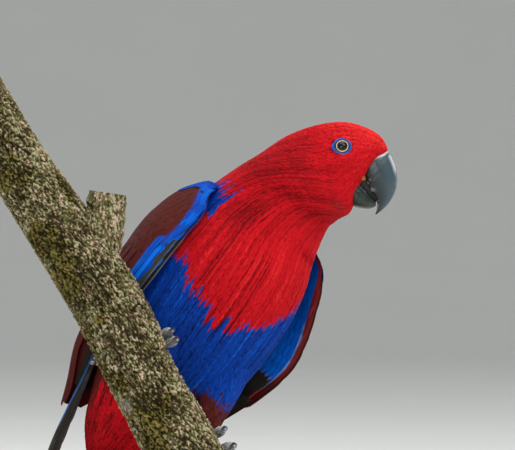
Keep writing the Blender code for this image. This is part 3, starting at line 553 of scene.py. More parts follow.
def rod_material():
    """Brushed steel of the stand's rods."""
    n = Nodes("stand_metal")
    lines = n.noise(900.0, 2.0, 0.5, n.place((1.0, 1.0, 0.04)))
    n.bump(lines, 0.00003, 0.5)
    colour = n.mix(n.between(lines, 0.3, 0.7), (0.42, 0.42, 0.43), (0.60, 0.60, 0.61))
    return n.finish(colour, n.between(lines, 0.3, 0.7, 0.24, 0.38), Metallic=1.0)


# Body surface

def trunk_station(behind, width, back, belly):
    """Centre, side and up directions, half width and two heights. The tail stump sinks a little."""
    lift = TAIL_LIFT * np.clip((behind - 150.0) / 20.0, 0, 1)
    return (*body_point(behind, 0.0, lift), *LEFT, *(-BELLY), width, back, belly)


def head_station(top_x, top_z, low_x, low_z, depth, width, twist):
    top = SHOULDER + (top_x, depth, top_z)
    low = SHOULDER + (low_x, depth, low_z)
    profile_up = unit(top - low)
    tilt = (1 - twist) * 0.8
    side = unit((1 - tilt) * FAR + tilt * LEFT)
    up = profile_up - side * np.dot(profile_up, side)
    up = unit(unit(up) * (1 - tilt) - tilt * BELLY)
    side = unit(side - up * np.dot(side, up))
    half = np.linalg.norm(top - low) / 2
    return (*((top + low) / 2), *side, *up, width, half, half)


STATIONS = np.array(
    [trunk_station(*row) for row in TAIL_CORE + TORSO] + [head_station(*row) for row in NECK_AND_HEAD])
TORSO_FIRST = len(TAIL_CORE)
NECK_FIRST = TORSO_FIRST + len(TORSO)
FOREHEAD = len(STATIONS) - 1
STATION_STEP = 0.02
STATION_MARKS = np.arange(0, FOREHEAD + STATION_STEP / 2, STATION_STEP)
STATION_ROWS = smooth(np.arange(FOREHEAD + 1), STATIONS, STATION_MARKS)
FIELD_CELLS = 512


def body_surface(station, theta, out=0.0):
    """Point of the body at each station and theta in degrees, out mm above the coat's surface."""
    row = np.clip(np.asarray(station, float), 0, FOREHEAD) / STATION_STEP
    i = np.minimum(row.astype(int), len(STATION_ROWS) - 2)
    share = (row - i)[..., None]
    at = STATION_ROWS[i] * (1 - share) + STATION_ROWS[i + 1] * share
    side = unit(at[..., 3:6])
    up = at[..., 6:9]
    up = unit(up - side * (up * side).sum(-1, keepdims=True))
    angle = np.radians(theta)
    sine = np.sin(angle)
    height = np.where(sine > 0, at[..., 10], at[..., 11])
    out = np.asarray(out, float)
    sideways = side * ((at[..., 9] + out) * np.cos(angle))[..., None]
    return at[..., :3] + sideways + up * ((height + out) * sine)[..., None]


def body_frame(station, theta):
    """Point, normal, and how many mm one station forwards and one degree round are there."""
    centre = body_surface(station, theta)
    low = np.clip(station - 0.03, 0, FOREHEAD - 0.06)
    along = (body_surface(low + 0.06, theta) - body_surface(low, theta)) / 0.06
    around = body_surface(station, theta + 1.0) - body_surface(station, theta - 1.0)
    normal = turned_out(np.cross(around, along), centre - body_surface(station, theta, -8.0))
    return centre, normal, np.linalg.norm(along, axis=-1), np.linalg.norm(around, axis=-1) / 2


def turned_out(normal, outward):
    """Normals at length 1, each on the outward side."""
    normal = unit(normal)
    return np.where((normal * outward).sum(-1, keepdims=True) < 0, -normal, normal)


def unwrap(station, theta):
    """Place on the unwrap of the body's own shape."""
    return inside(np.stack((np.asarray(theta) % 360 / 360, np.asarray(station) / FOREHEAD), -1))


def field(theta, length, theta_cell, length_cell, seed):
    """Smooth random field, 0 to 1, over cells of so many degrees and so much length."""
    table = np.random.default_rng(seed).random((int(round(360 / theta_cell)), FIELD_CELLS))
    x = np.asarray(theta, float) % 360 / 360 * len(table)
    y = np.asarray(length, float) / length_cell + 40.0
    i, j = np.floor(x).astype(int), np.floor(y).astype(int)
    u, v = x - i, y - j
    u, v = u * u * (3 - 2 * u), v * v * (3 - 2 * v)
    first, second = i % len(table), (i + 1) % len(table)
    rows = j % FIELD_CELLS, (j + 1) % FIELD_CELLS
    near, far = (table[first, row] * (1 - u) + table[second, row] * u for row in rows)
    return near * (1 - v) + far * v


# Markings, the same on skin and coat. BIB_EDGE is where the red ends: (theta, behind)

FRINGE = 15.0
BIB_EDGE = (
    (150.0, -6.0), (199.0, -4.0), (202.0, 42.0), (212.0, 50.0), (226.0, 56.5), (241.0, 63.0), (253.0, 66.0),
    (275.0, 60.5), (287.0, 54.0), (304.0, 40.0), (320.0, 34.0), (338.0, 30.0), (341.0, -4.0), (390.0, -6.0),
)
SHOULDER_RED = (14.0, 47.0, 186.0, 203.0)
BELLY_END, VENT_END, MANTLE_END = 112.0, 136.0, 24.0


def markings(station, theta, ragged=0.0):
    """How blue and how maroon the body is. ragged moves the borders, in mm along the body."""
    behind = how_far_behind(body_surface(station, theta))
    ragged = ragged + 0.6 * FRINGE * (field(theta, station, 3.6, 2.5, 3) - 0.5)
    ragged = ragged + 0.9 * FRINGE * (field(theta, station, 1.1, 1.6, 4) - 0.5)
    theta = np.asarray(theta) % 360
    turned = np.where(theta < 30, theta + 360, theta)
    red = step(1.5, -1.5, behind + ragged - ramp(turned, BIB_EDGE))
    low, high, right, left = SHOULDER_RED
    shoulder = (turned > right + ragged * 0.5) & (turned < left)
    red = np.maximum(red, shoulder & (behind > low) & (behind < high))
    under = (theta > 186) & (theta < 354)
    vent = step(BELLY_END - 1, BELLY_END + 1, behind + ragged) * under
    undertail = step(VENT_END - 5, VENT_END + 3, behind + ragged) * under
    back = step(MANTLE_END - 1, MANTLE_END + 1, behind + ragged) * ~under
    maroon = 1 - np.maximum(undertail, step(VENT_END, VENT_END + 40, behind))
    blue = np.clip(1 - red - vent - back, 0, 1)
    return np.where(red > 0.5, 0.0, blue), np.where(red > 0.5, 0.0, maroon)


# Coat: (station, spacing, length, half width, strands, strand width, root depth)
COAT = np.array((
    (0.0, 3.0, 15.0, 3.2, 7, 1.00, 1.5), (4.0, 2.9, 16.0, 3.2, 7, 0.95, 1.6),
    (8.0, 2.5, 16.0, 3.0, 7, 0.85, 1.7), (11.0, 2.3, 15.0, 2.6, 7, 0.75, 1.6),
    (13.5, 2.0, 11.5, 2.1, 6, 0.62, 1.3), (15.5, 1.75, 8.5, 1.6, 5, 0.54, 1.1),
    (18.0, 1.5, 6.0, 1.2, 5, 0.48, 0.9), (20.0, 1.3, 3.8, 0.9, 4, 0.44, 0.7),
    (21.0, 1.2, 2.6, 0.8, 4, 0.42, 0.6),
))
STRAND_SHARES = np.array((0.0, 0.34, 0.70, 1.0))
STRAND_SPOTS = np.array((0.0, 0.34, 0.34, 0.34, 0.70, 0.70, 0.70, 1.0))
STRAND_ACROSS = np.array((0.5, 0.8, 0.5, 0.2, 0.8, 0.5, 0.2, 0.5))
STRAND_FACES = np.array((
    (0, 2, 1), (0, 3, 2), (0, 1, 3), (1, 2, 5), (1, 5, 4), (2, 3, 6), (2, 6, 5), (3, 1, 4), (3, 4, 6),
    (4, 5, 7), (5, 6, 7), (6, 4, 7),
))
STRAND_PATCH = 0.003
STRANDS_PER_PIECE = 15500
# Tables of (station, amount): clumps that part the coat, darkened in the partings as painted shade,
# streaks, sway and how light the red is, partly its own tone and partly painted light and shade
CLUMPED = (
    (0.0, 0.4), (6.0, 0.9), (10.5, 0.9), (12.0, 0.5), (13.5, 0.3), (15.0, 0.2), (16.0, 0.06),
    (22.0, 0.0),
)
STREAKED = ((0.0, 0.50), (4.0, 0.72), (11.0, 0.70), (12.5, 0.48), (22.0, 0.55))
SWAYED = ((0.0, 0.16), (12.0, 0.12), (15.0, 0.06), (21.0, 0.03))
LIGHTENED = (
    (0.0, -0.34), (4.0, -0.26), (6.0, -0.06), (11.0, 0.0), (12.5, -0.26), (14.0, -0.24), (15.5, -0.03),
    (17.0, 0.04), (22.0, 0.10),
)


def coat_table(station, column):
    return ramp(station, COAT[:, (0, column)])


def feather_roots(low, high):
    """Rows of roots along the body, evenly spaced round it, shifted from row to row."""
    found = []
    station = high
    shift = 0.0
    theta = np.arange(0, 360, 3.0)
    round_again = np.append(theta, 360.0)
    while station > low:
        spacing = float(coat_table(station, 1))
        _, _, along, around = body_frame(np.full(len(theta), station), theta)
        share = np.concatenate(([0], np.cumsum(around * 3.0)))
        count = max(int(share[-1] / spacing), 6)
        marks = (np.arange(count) + shift + rng.uniform(-0.35, 0.35, count)) % count
        at = np.interp(marks / count * share[-1], share, round_again)
        mean_step = spacing * 0.86 / np.interp(at % 360, round_again, np.append(along, along[0]))
        found.append(np.stack((station + rng.uniform(-0.45, 0.45, count) * mean_step, at), -1))
        station -= max(float(np.median(mean_step)), 0.01)
        shift += 0.5
    return np.concatenate(found)


def strands(name, path, normal, half, marks, spot, material, slot):
    """Piece of closed, tapered strands in rings of three. path is (count, 4, 3), half their half
    widths, marks one value each, and spot each one's place on the unwrap."""
    count = len(path)
    side = unit(np.cross(normal, unit(np.gradient(path, axis=1))))
    half = half.reshape(-1, 1)
    points = [path[:, 0]]
    for k, share in ((1, 0.92), (2, 1.0)):
        points.append(path[:, k] + side[:, k] * half * share)
        points.append(path[:, k] + normal[:, k] * half * share * 0.55)
        points.append(path[:, k] - side[:, k] * half * share)
    points.append(path[:, 3])
    faces = (np.arange(count)[:, None, None] * 8 + STRAND_FACES).reshape(-1, 3)
    marks = {key: np.repeat(values, 8) for key, values in marks.items()}
    marks.setdefault("along", np.tile(STRAND_SPOTS, count))
    local = np.stack((STRAND_ACROSS - 0.5, 0.5 - STRAND_SPOTS), -1)[None] * STRAND_PATCH
    uv = (spot[:, None, :] + local).reshape(-1, 2)
    place(make_mesh(name, np.stack(points, 1).reshape(-1, 3), faces, material, marks, uv), slot)


def red_tone_and_painted_light(station, theta):
    """How much lighter the red is than its middle: partly its own tone, the head brighter than the
    breast, and partly painted light on the top of the crown and painted shade on the neck and upper breast.
    """
    theta = np.asarray(theta) % 360
    behind = how_far_behind(body_surface(station, theta))
    # Upper breast deeper: partly its own deeper crimson, partly painted shade.
    breast_tone_and_shade = 0.34 * np.exp(-(((behind - 4.0) / 12.0) ** 2) - ((theta - 222.0) / 26.0) ** 2)
    # Top of the crown lighter: painted light from above.
    painted_crown_light = step(14.5, 16.5, station) * 0.28 * np.clip(np.sin(np.radians(theta)), 0, 1)
    return ramp(station, LIGHTENED) - breast_tone_and_shade - 0.05 + painted_crown_light


def coat(name, low, high, material, slot, keep=None):
    """Feathers as fans of strands over the body from one station to another."""
    station, theta = feather_roots(low, high).T
    theta = theta % 360
    if keep is not None:
        chosen = keep(station, theta)
        station, theta = station[chosen], theta[chosen]
    count = len(station)
    length, half_width, fan, width, depth = (coat_table(station, k) for k in range(2, 7))
    fan = np.round(fan).astype(int)
    turn = rng.normal(0, 0.015, count) + ramp(station, SWAYED) * (field(theta, station, 9.0, 0.6, 5) - 0.5)
    high = rng.uniform(-0.10, 0.05, count)
    _, _, along, around = body_frame(station, theta)
    # From here on each value belongs to a strand
    barb = np.repeat(np.arange(count), fan)
    first = np.searchsorted(barb, np.arange(count))[barb]
    place_in = (np.arange(len(barb)) - first + 0.5) / fan[barb] * 2 - 1
    station, theta, length, half_width, width, depth, turn, high, along, around = (
        values[barb] for values in (
            station, theta, length, half_width, width, depth, turn, high, along, around))
    total = len(barb)
    aside = place_in * half_width + rng.normal(0, 0.12, total)
    reach = length * (1 - 0.22 * place_in**2) * rng.uniform(0.80, 1.12, total)
    turn = turn + rng.normal(0, 0.012, total) + place_in * 0.02
    spot = theta + aside / around
    shown = np.maximum(station - 0.62 * length / along, 0.0)
    blue, maroon = markings(shown, spot, rng.normal(0, 0.5, total))
    fine = field(spot, station, 0.75, 1.7, 7)
    broad = field(spot, station, 4.5, 1.6, 8)
    # Partings between clumps: the strands sink there, and the darkening of their shade is painted shade.
    dark = step(0.24, 0.08, field(spot, station, 1.3, 1.7, 9)) * ramp(station, CLUMPED)
    streak = ramp(station, STREAKED) * (fine - 0.5) + 0.22 * (broad - 0.5)
    streak = streak + 0.20 * (rng.random(total) - 0.5)
    # shade: streaks, the painted shade of the partings, and the red's tone with its painted light and
    # shade.
    shade = np.clip(0.56 + (streak - 0.42 * dark) + red_tone_and_painted_light(shown, spot), 0, 1.15)
    high = high - 0.08 * place_in**2 + rng.uniform(-0.04, 0.04, total) - 0.40 * dark
    # Strands at the throat under the lower bill turn partly grey-olive.
    greyed_under_bill = np.exp(-(((station - 15.3) / 0.55) ** 2) - ((spot % 360 - 236.0) / 9.0) ** 2)
    marks = {"shade": shade, "blue": blue, "maroon": maroon, "flight": 0.7 * greyed_under_bill * rng.random(total)}
    stations = station[:, None] - STRAND_SHARES * (reach * np.cos(turn) / along)[:, None]
    run = STRAND_SHARES * (reach * np.sin(turn))[:, None]
    run = run + aside[:, None] * (0.45 + 0.55 * np.sin(STRAND_SHARES * 2.4))
    heights = np.stack((-depth, -depth * 0.35 + high * 0.6, high * 0.9 - 0.06, high - 0.28), -1)
    centre, normal, _, _ = body_frame(stations, theta[:, None] + run / around[:, None])
    path = centre + normal * heights[..., None]
    parts = np.array_split(np.argsort(station, kind="stable"), max(1, math.ceil(total / STRANDS_PER_PIECE)))
    for number, part in enumerate(parts, 1):
        half = width[part] * rng.uniform(0.8, 1.2, len(part)) * 0.5
        own = {key: values[part] for key, values in marks.items()}
        spots = unwrap(station[part], theta[part])
        strands(f"{name}_{number}", path[part], normal[part], half, own, spots, material, slot)


SKIN_TRUNK_ROWS, SKIN_HEAD_ROWS, SKIN_SIDES = 150, 120, 144


def make_skin(material):
    """One skin for tail stump, torso, neck and head, inside the solids by the coat's depth."""
    trunk = np.linspace(0.15, NECK_FIRST, SKIN_TRUNK_ROWS)
    head = np.linspace(NECK_FIRST, FOREHEAD, SKIN_HEAD_ROWS)
    around = np.linspace(0, 360, SKIN_SIDES, endpoint=False)
    station, theta = np.meshgrid(np.concatenate((trunk, head[1:])), around, indexing="ij")
    rings = body_surface(station, theta, -coat_table(station, 6))
    loft_piece("skin", rings, material, "body_red", "torso", "neck", "head",
               marks=core_marks(*markings(station, theta), 0.35), uv=unwrap(station, theta))


# Vanes: feathers with a blade

VANE_ROWS = 14
VANE_COLUMNS = 7


def vane_width(t, quill, round_from):
    """Share of the half width along the vane: a narrow quill, a full blade and a round tip."""
    blade = quill + (1 - quill) * step(0.0, 0.38, t)
    tip = np.clip((t - round_from) / (1 - round_from), 0, 1)
    return blade * np.sqrt(np.clip(1 - tip**2.2 * 0.985, 0, 1))


class Vanes:
    """Collects blades and makes one piece of them, each blade its own patch of the UV map."""

    def __init__(self, name, material):
        self.name, self.material = name, material
        self.points, self.faces, self.cells = [], [], []
        self.marks = {key: [] for key in ("shade", "along", "across", "blue", "maroon", "flight", "barbs")}
        self.total = 0

    def add(self, surface, normal, marks, thickness=0.32):
        """surface and normal are (rows, columns, 3) grids of the blade's upper face."""
        rows, columns, _ = surface.shape
        t, u = np.meshgrid(shares(rows), np.linspace(-1, 1, columns), indexing="ij")
        under = surface - normal * (thickness * (1 - 0.75 * np.abs(u) ** 2))[..., None]
        count = rows * columns
        top = grid_faces(rows, columns, False)
        ring = np.concatenate((
            np.arange(columns), np.arange(1, rows) * columns + columns - 1,
            (rows - 1) * columns + np.arange(columns - 2, -1, -1), np.arange(rows - 2, 0, -1) * columns,
        ))
        ahead = np.roll(ring, -1)
        rim = np.stack((ring, ring + count, ahead + count, ahead), -1)
        faces = np.concatenate((top, top[:, ::-1] + count, rim))
        r, c = rows // 2, columns // 2
        facing = np.cross(surface[r, c + 1] - surface[r, c], surface[r + 1, c + 1] - surface[r, c])
        if np.dot(facing, normal[r, c]) < 0:
            faces = faces[:, ::-1]
        self.points += [surface.reshape(-1, 3), under.reshape(-1, 3)]
        self.faces.append(faces + self.total)
        self.total += 2 * count
        given = {"along": t, "across": u, "flight": 0.0, "blue": 0.0, "maroon": 0.0, "barbs": 24.0, **marks}
        for key, values in self.marks.items():
            values += [(np.zeros((rows, columns)) + given[key]).ravel()] * 2
        local = np.stack((u * 0.46 + 0.5, t * 0.92 + 0.04), -1).reshape(-1, 2) * (0.5, 1.0)
        self.cells.append(np.concatenate((local, local + (0.5, 0.0))))

    def make(self, slot, *nodes):
        side = math.ceil(math.sqrt(len(self.cells)))
        uv = [
            (inside(cell) + (number % side, number // side)) / side
            for number, cell in enumerate(self.cells)
        ]
        marks = {key: np.concatenate(values) for key, values in self.marks.items()}
        place(make_mesh(self.name, np.concatenate(self.points), np.concatenate(self.faces), self.material,
                        marks, np.concatenate(uv)), slot, *nodes)


def notched(rows, amount):
    """Small random dips of a vane's edge, where barbs have parted."""
    dips = np.ones(rows)
    spots = rng.integers(rows // 3, rows - 1, 2)
    dips[spots] -= rng.uniform(0, amount, 2)
    return dips[:, None]


# Wings

def wing_surface(behind, across, side):
    """Point of the folded wing's outer surface: across 0 is its leading edge, 1 its back edge."""
    lines = (WING_EDGE, WING_BULGE, WING_BACK)
    edge, bulge, back = (smooth(line[:, 0], line[:, 1:], behind) for line in lines)
    w = np.asarray(across)[..., None]
    flat = edge * (1 - w) * (1 - 2 * w) + bulge * 4 * w * (1 - w) + back * w * (2 * w - 1)
    return body_point(behind, side * flat[..., 0], flat[..., 1])


def wing_frame(behind, across, side):
    point = wing_surface(behind, across, side)
    along = wing_surface(behind + 0.5, across, side) - wing_surface(behind - 0.5, across, side)
    around = wing_surface(behind, across + 0.01, side) - wing_surface(behind, across - 0.01, side)
    return point, turned_out(np.cross(along, around), point - body_point(behind, 0.0, 0.0))


def wing_depth(behind, across):
    """How far the wing's inner face lies under its outer one."""
    rear = np.clip((behind - 95.0) / 40.0, 0, 1)
    front = np.clip((behind + 6.0) / 24.0, 0.35, 1)
    deep, thin = (front * full * (1 - rear) + 1.6 * rear for full in (15.0, 6.5))
    depth = thin + (deep - thin) * np.minimum(across / 0.35, 1.0)
    return depth * np.sin(np.pi * np.clip(across * 0.86 + 0.07, 0, 1)) ** 0.5


def wing_inside(behind, across, side):
    """Point and outward direction of the wing's inner face."""
    point, normal = wing_frame(behind, across, side)
    return point - normal * wing_depth(behind, across)[..., None], -normal


def wing_width(behind, side):
    across = shares(8)
    behind = np.asarray(behind, float)
    points = wing_surface(behind[..., None] + 0 * across, across + 0 * behind[..., None], side)
    return np.linalg.norm(np.diff(points, axis=-2), axis=-1).sum(-1)


def wing_blade(vanes, side, root, tip, half_width, rises, marks, tilt=0.10, quill=0.5, round_from=0.45,
               camber=0.25, rows=9, columns=VANE_COLUMNS, thickness=0.22, bow=0.0, face=wing_frame):
    """One feather on the wing from root to tip, each (behind, across). marks is a dict, or a
    function of the blade's grids of behind, across and sideways shares."""
    t = shares(rows)
    u = np.linspace(-1, 1, columns)
    behind = root[0] + (tip[0] - root[0]) * t
    across = root[1] + (tip[1] - root[1]) * t + bow * np.sin(np.pi * t)
    width = half_width * vane_width(t, quill, round_from) / wing_width(behind, side)
    grid_b = behind[:, None] + 0 * u
    grid_a = across[:, None] + width[:, None] * u * notched(rows, 0.10)
    point, normal = face(grid_b, grid_a, side)
    rise = rises[0] + (rises[1] - rises[0]) * step(0, 0.5, t)
    height = rise[:, None] - tilt * u - camber * u**2 + 0.10 * bell(u, 0.12)
    if callable(marks):
        marks = marks(grid_b, grid_a, u + 0 * grid_b)
    vanes.add(point + normal * height[..., None], normal, {"shade": rng.beta(3, 3), **marks}, thickness)


# Wing colours, as (behind, across): where the outer face's blue ends, and the inner face's rim
BLUE_BAND = (
    (-6.0, 0.50), (0.0, 0.34), (4.0, 0.20), (11.0, 0.135), (16.0, 0.105), (24.0, 0.070), (34.0, 0.075),
    (44.0, 0.090), (50.0, 0.150), (58.0, 0.125), (68.0, 0.075), (80.0, 0.045), (110.0, 0.0), (220.0, -0.3),
)
INNER_RIM = (
    (4.0, 0.0), (10.0, 0.030), (20.0, 0.045), (36.0, 0.036), (46.0, 0.020), (60.0, 0.010), (78.0, 0.006),
    (86.0, 0.012), (96.0, 0.045), (112.0, 0.040), (122.0, 0.0),
)
WING_FRONT = -3.9
COVERT_ROWS, COVERT_STEP = 12, 5.4
INNER_COLUMNS = 15
WING_CORE_ROWS, WING_CORE_COLUMNS = 40, 21
PRIMARIES = 9


def blue_edge(behind, side):
    """Where the blue ends on the outer face. The left wing is blue only at its front corner."""
    return ramp(behind, BLUE_BAND) - 0.4 * (side > 0) * (behind > 8.0)


def covert_marks(barbs, side):
    """Blue along the leading edge and maroon behind it, with a ragged border."""
    shade = rng.beta(3, 3)
    shift = rng.normal(0, 0.007)

    def marks(behind, across, sideways):
        blue = step(0.006, -0.006, across - blue_edge(behind, side) - shift)
        return {"blue": blue, "maroon": 1.0, "barbs": barbs, "shade": shade + 0.40 * blue}

    return marks


def add_coverts(vanes, side):
    """Small feathers in shifted rows over the wing's front half."""
    for row in range(COVERT_ROWS):
        behind = -1.0 + COVERT_STEP * row
        half_width = 3.5 + 0.20 * row
        count = max(int(float(wing_width(behind, side)) / (half_width * 1.35)), 4)
        for i in range(count + 1):
            across = 0.055 + 0.92 * (i + 0.5 * (row % 2)) / (count + 0.5)
            shift = rng.normal(0, 0.8)
            root = (max(behind - 6.0, WING_FRONT) + shift * 0.2, across)
            tip = (behind + 10.0 + 0.5 * row + shift, across + rng.normal(0, 0.004))
            marks = covert_marks(10, side)
            wing_blade(vanes, side, root, tip, half_width, (-1.5, 0.15 + 0.05 * row), marks, quill=0.6,
                       round_from=0.40, camber=0.22, thickness=0.16)


# Secondaries, greater and median coverts: (count, first and last root, first and last tip, first
# and last place across at the root and at the tip, bow, half width, rises, barbs, round from)
LONG_FEATHERS = (
    (12, (96.0, 92.0), (163.0, 160.0), (0.14, 0.8538), (0.08, 0.7938), 0.15, 6.6, (-2.0, 0.30), 34, 0.60),
    (11, (62.0, 60.0), (104.0, 112.0), (0.08, 0.92), (0.08, 0.92), 0.0, 6.2, (-1.8, 0.55), 20, 0.52),
    (11, (44.0, 40.0), (76.0, 80.0), (0.09, 0.92), (0.09, 0.92), 0.0, 5.6, (-1.3, 0.75), 15, 0.45),
)


def add_long_feathers(vanes, side):
    """Median and greater coverts and secondaries, each row under the one in front of it."""
    for row in LONG_FEATHERS:
        count, roots, tips, root_across, tip_across, bow, half_width, rises, barbs, round_from = row
        for t in shares(count):
            root_at, tip_at, root_aside, tip_aside = (
                ends[0] + (ends[1] - ends[0]) * t for ends in (roots, tips, root_across, tip_across))
            tip_at = tip_at + rng.normal(0, 0.8)
            shift = rng.normal(0, 0.004) * (bow == 0)
            wing_blade(vanes, side, (root_at, root_aside), (tip_at, tip_aside + shift), half_width, rises,
                       covert_marks(barbs, side), tilt=0.45, round_from=round_from, camber=0.3, rows=18,
                       thickness=0.2, bow=bow * (1 - t) ** 2)


# Feathers along the leading edge: (root, tip, half width, rises, blue, maroon, shade)
RIGHT_EDGE = (
    ((-3.0, 0.046), (14.0, 0.044), 2.4, (-0.6, 0.65), 1.0, 1.0, 1.1),
    ((3.0, 0.044), (20.0, 0.042), 2.4, (-0.6, 0.65), 1.0, 1.0, 0.8),
    ((9.0, 0.042), (28.0, 0.040), 2.3, (-0.6, 0.65), 1.0, 1.0, 1.2),
    ((16.0, 0.042), (38.0, 0.042), 2.2, (-0.6, 0.65), 1.0, 1.0, 0.9),
    ((22.0, 0.110), (80.0, 0.118), 2.5, (-1.6, 1.45), 1.0, 1.0, 1.0),
    ((22.0, 0.078), (92.0, 0.082), 2.1, (-1.6, 1.15), 1.0, 1.0, 1.6),
)
LEFT_EDGE = (
    ((-3.0, 0.03), (12.0, 0.02), 2.6, (-0.6, 0.5), 1.0, 1.0, 1.2),
    ((2.0, 0.034), (34.0, 0.030), 2.4, (-0.8, 0.1), 0.0, 0.85, 1.8),
    ((14.0, 0.034), (56.0, 0.028), 2.2, (-0.8, 0.3), 0.0, 0.85, 1.6),
    ((36.0, 0.030), (84.0, 0.020), 1.8, (-0.8, 0.2), 0.0, 0.80, 1.8),
    ((74.0, 0.030), (104.0, 0.036), 1.5, (-0.8, 0.1), 0.0, 0.45, 1.8),
)


def pale_rim_marks(behind, across, sideways):
    """Olive-grey feather whose leading rim is pale blue-grey."""
    rim = step(0.70, 0.90, -sideways)
    return {"blue": 1.0, "maroon": 1.0, "flight": 1.0 - 0.35 * rim, "barbs": 60.0,
            "shade": 0.45 + 0.75 * rim}


def add_leading_edge(vanes, side):
    """Blue feathers over a dark one with a pale rim on the right wing, maroon ones on the left."""
    if side < 0:
        wing_blade(vanes, side, (24.0, 0.036), (112.0, 0.026), 2.3, (0.2, 0.95), pale_rim_marks,
                   camber=0.1, quill=0.95, round_from=0.85, rows=24, columns=11)
    for root, tip, half_width, rises, blue, maroon, shade in RIGHT_EDGE if side < 0 else LEFT_EDGE:
        marks = {"blue": blue, "maroon": maroon, "shade": shade, "barbs": 22}
        wing_blade(vanes, side, root, tip, half_width, rises, marks, tilt=0.15, camber=0.2, round_from=0.60,
                   rows=20, quill=0.9 if side < 0 else 0.8)


def add_mantle_edge(vanes, side):
    """Blue mantle feathers that lie over the front of the wing."""
    for row, behind in enumerate((-9.0, -5.5, -2.0)):
        for i in range(9):
            across = 0.06 + 0.085 * (i + 0.5 * (row % 2))
            blue = {"blue": 1.0, "maroon": 1.0, "barbs": 12, "shade": rng.uniform(0.3, 1.1)}
            reach = 6.0 + 7.0 * step(0.36, 0.46, across)
            wing_blade(vanes, side, (max(behind, WING_FRONT), across),
                       (behind + reach + rng.normal(0, 0.8), across), 3.6, (-0.2, 0.7), blue, quill=0.6)


def inner_marks(behind, across, sideways):
    """Under the wing: a brown-red rim, then bright blue, olive and black towards the tip."""
    edge = ramp(behind, INNER_RIM)
    rim = step(edge + 0.006, edge - 0.006, across)
    dark = step(80.0, 87.0, behind) * (1 - rim)
    line = bell(across - edge - 0.014, 0.011) * step(36.0, 42.0, behind) * step(90.0, 80.0, behind)
    return {"blue": 1.0 - rim, "maroon": 0.85 - 0.45 * step(84.0, 94.0, behind), "barbs": 20.0,
            "flight": np.maximum(dark, 0.9 * line), "shade": 2.0 - 1.5 * dark + 1.5 * line}


def add_inside(vanes, side):
    """Feathers of the wing's inner face near its leading edge."""
    first = 0.02 if side > 0 else 0.12
    for row in range(9):
        behind = 2.0 + 9.0 * row
        for i in range(5):
            across = first + 0.065 * (i + 0.5 * (row % 2))
            root = (max(behind - 9.0, WING_FRONT), across)
            tip = (behind + 9.0 + rng.normal(0, 0.8), across)
            wing_blade(vanes, side, root, tip, 4.2, (-0.5, 0.5), inner_marks, quill=0.8, rows=10,
                       columns=INNER_COLUMNS, face=wing_inside)
    for i in range(5):
        across = first + 0.045 * i
        marks = {"blue": 1.0, "maroon": 1.0, "flight": 1.0, "barbs": 60.0, "shade": 0.15 + 0.35 * (i % 2)}
        wing_blade(vanes, side, (76.0, across + 0.03), (126.0 - 4.0 * i, across), 3.4, (0.0, 0.8 - 0.1 * i),
                   inner_marks if i == 0 and side > 0 else marks, round_from=0.7, camber=0.2, rows=20,
                   columns=INNER_COLUMNS, face=wing_inside)


PRIMARY_ROOT = 98.0
PRIMARY_TIPS = (212.0, 206.0, 195.0, 181.0, 165.0)
PRIMARY_HALF_WIDTH, PRIMARY_INSET, PRIMARY_STEP, PRIMARY_DEPTH = 5.1, 2.6, 0.95, -1.0
PRIMARY_ROWS, PRIMARY_COLUMNS = 30, 13


def add_primaries(vanes, side):
    """Stack of long dark feathers flat in the folded tip, the outermost at the leading edge and
    deepest. Between each two of them lies one more."""
    t = shares(PRIMARY_ROWS)
    u = np.linspace(-1, 1, PRIMARY_COLUMNS)
    for number in range(PRIMARIES):
        i = number / 2
        behind = PRIMARY_ROOT + (np.interp(i, np.arange(5), PRIMARY_TIPS) - PRIMARY_ROOT) * t
        lead = wing_surface(behind, 0.0 * t, side)
        inward = unit(wing_surface(behind, 0.0 * t + 1.0, side) - lead)
        normal = unit(np.cross(np.broadcast_to(TAILWARD, inward.shape), inward)) * side
        inset = PRIMARY_INSET * i * t + PRIMARY_HALF_WIDTH + 0.8 * (number % 2)
        width = PRIMARY_HALF_WIDTH * vane_width(t, 0.6, 0.84)
        sideways = inset[:, None] + width[:, None] * u * notched(PRIMARY_ROWS, 0.05)
        high = PRIMARY_DEPTH + PRIMARY_STEP * i - 0.25 * u**2 + 0.12 * bell(u, 0.08)
        surface = lead[:, None] + inward[:, None] * sideways[..., None]
        surface = surface + normal[:, None] * high[None, :, None]
        rim = step(0.70, 0.85, -u)[None, :] * step(0.75, 0.55, t)[:, None] * (number < 2)
        if side > 0:
            rim = rim * step(0.40, 0.50, t)[:, None]
        pale = step(0.82, 0.95, np.abs(u)) + 0 * rim
        # The far, left wing's primaries get three tenths of the tone and no pale edges: painted shade.
        shade = rng.uniform(0.65, 0.85) * (0.3 if side > 0 else 1.0) + 1.2 * rim + 0.4 * pale * (side < 0)
        marks = {"blue": 1.0, "maroon": 1.0, "flight": 1.0 - rim, "barbs": 60.0, "shade": shade}
        vanes.add(surface, np.broadcast_to(normal[:, None], surface.shape), marks, 0.25)


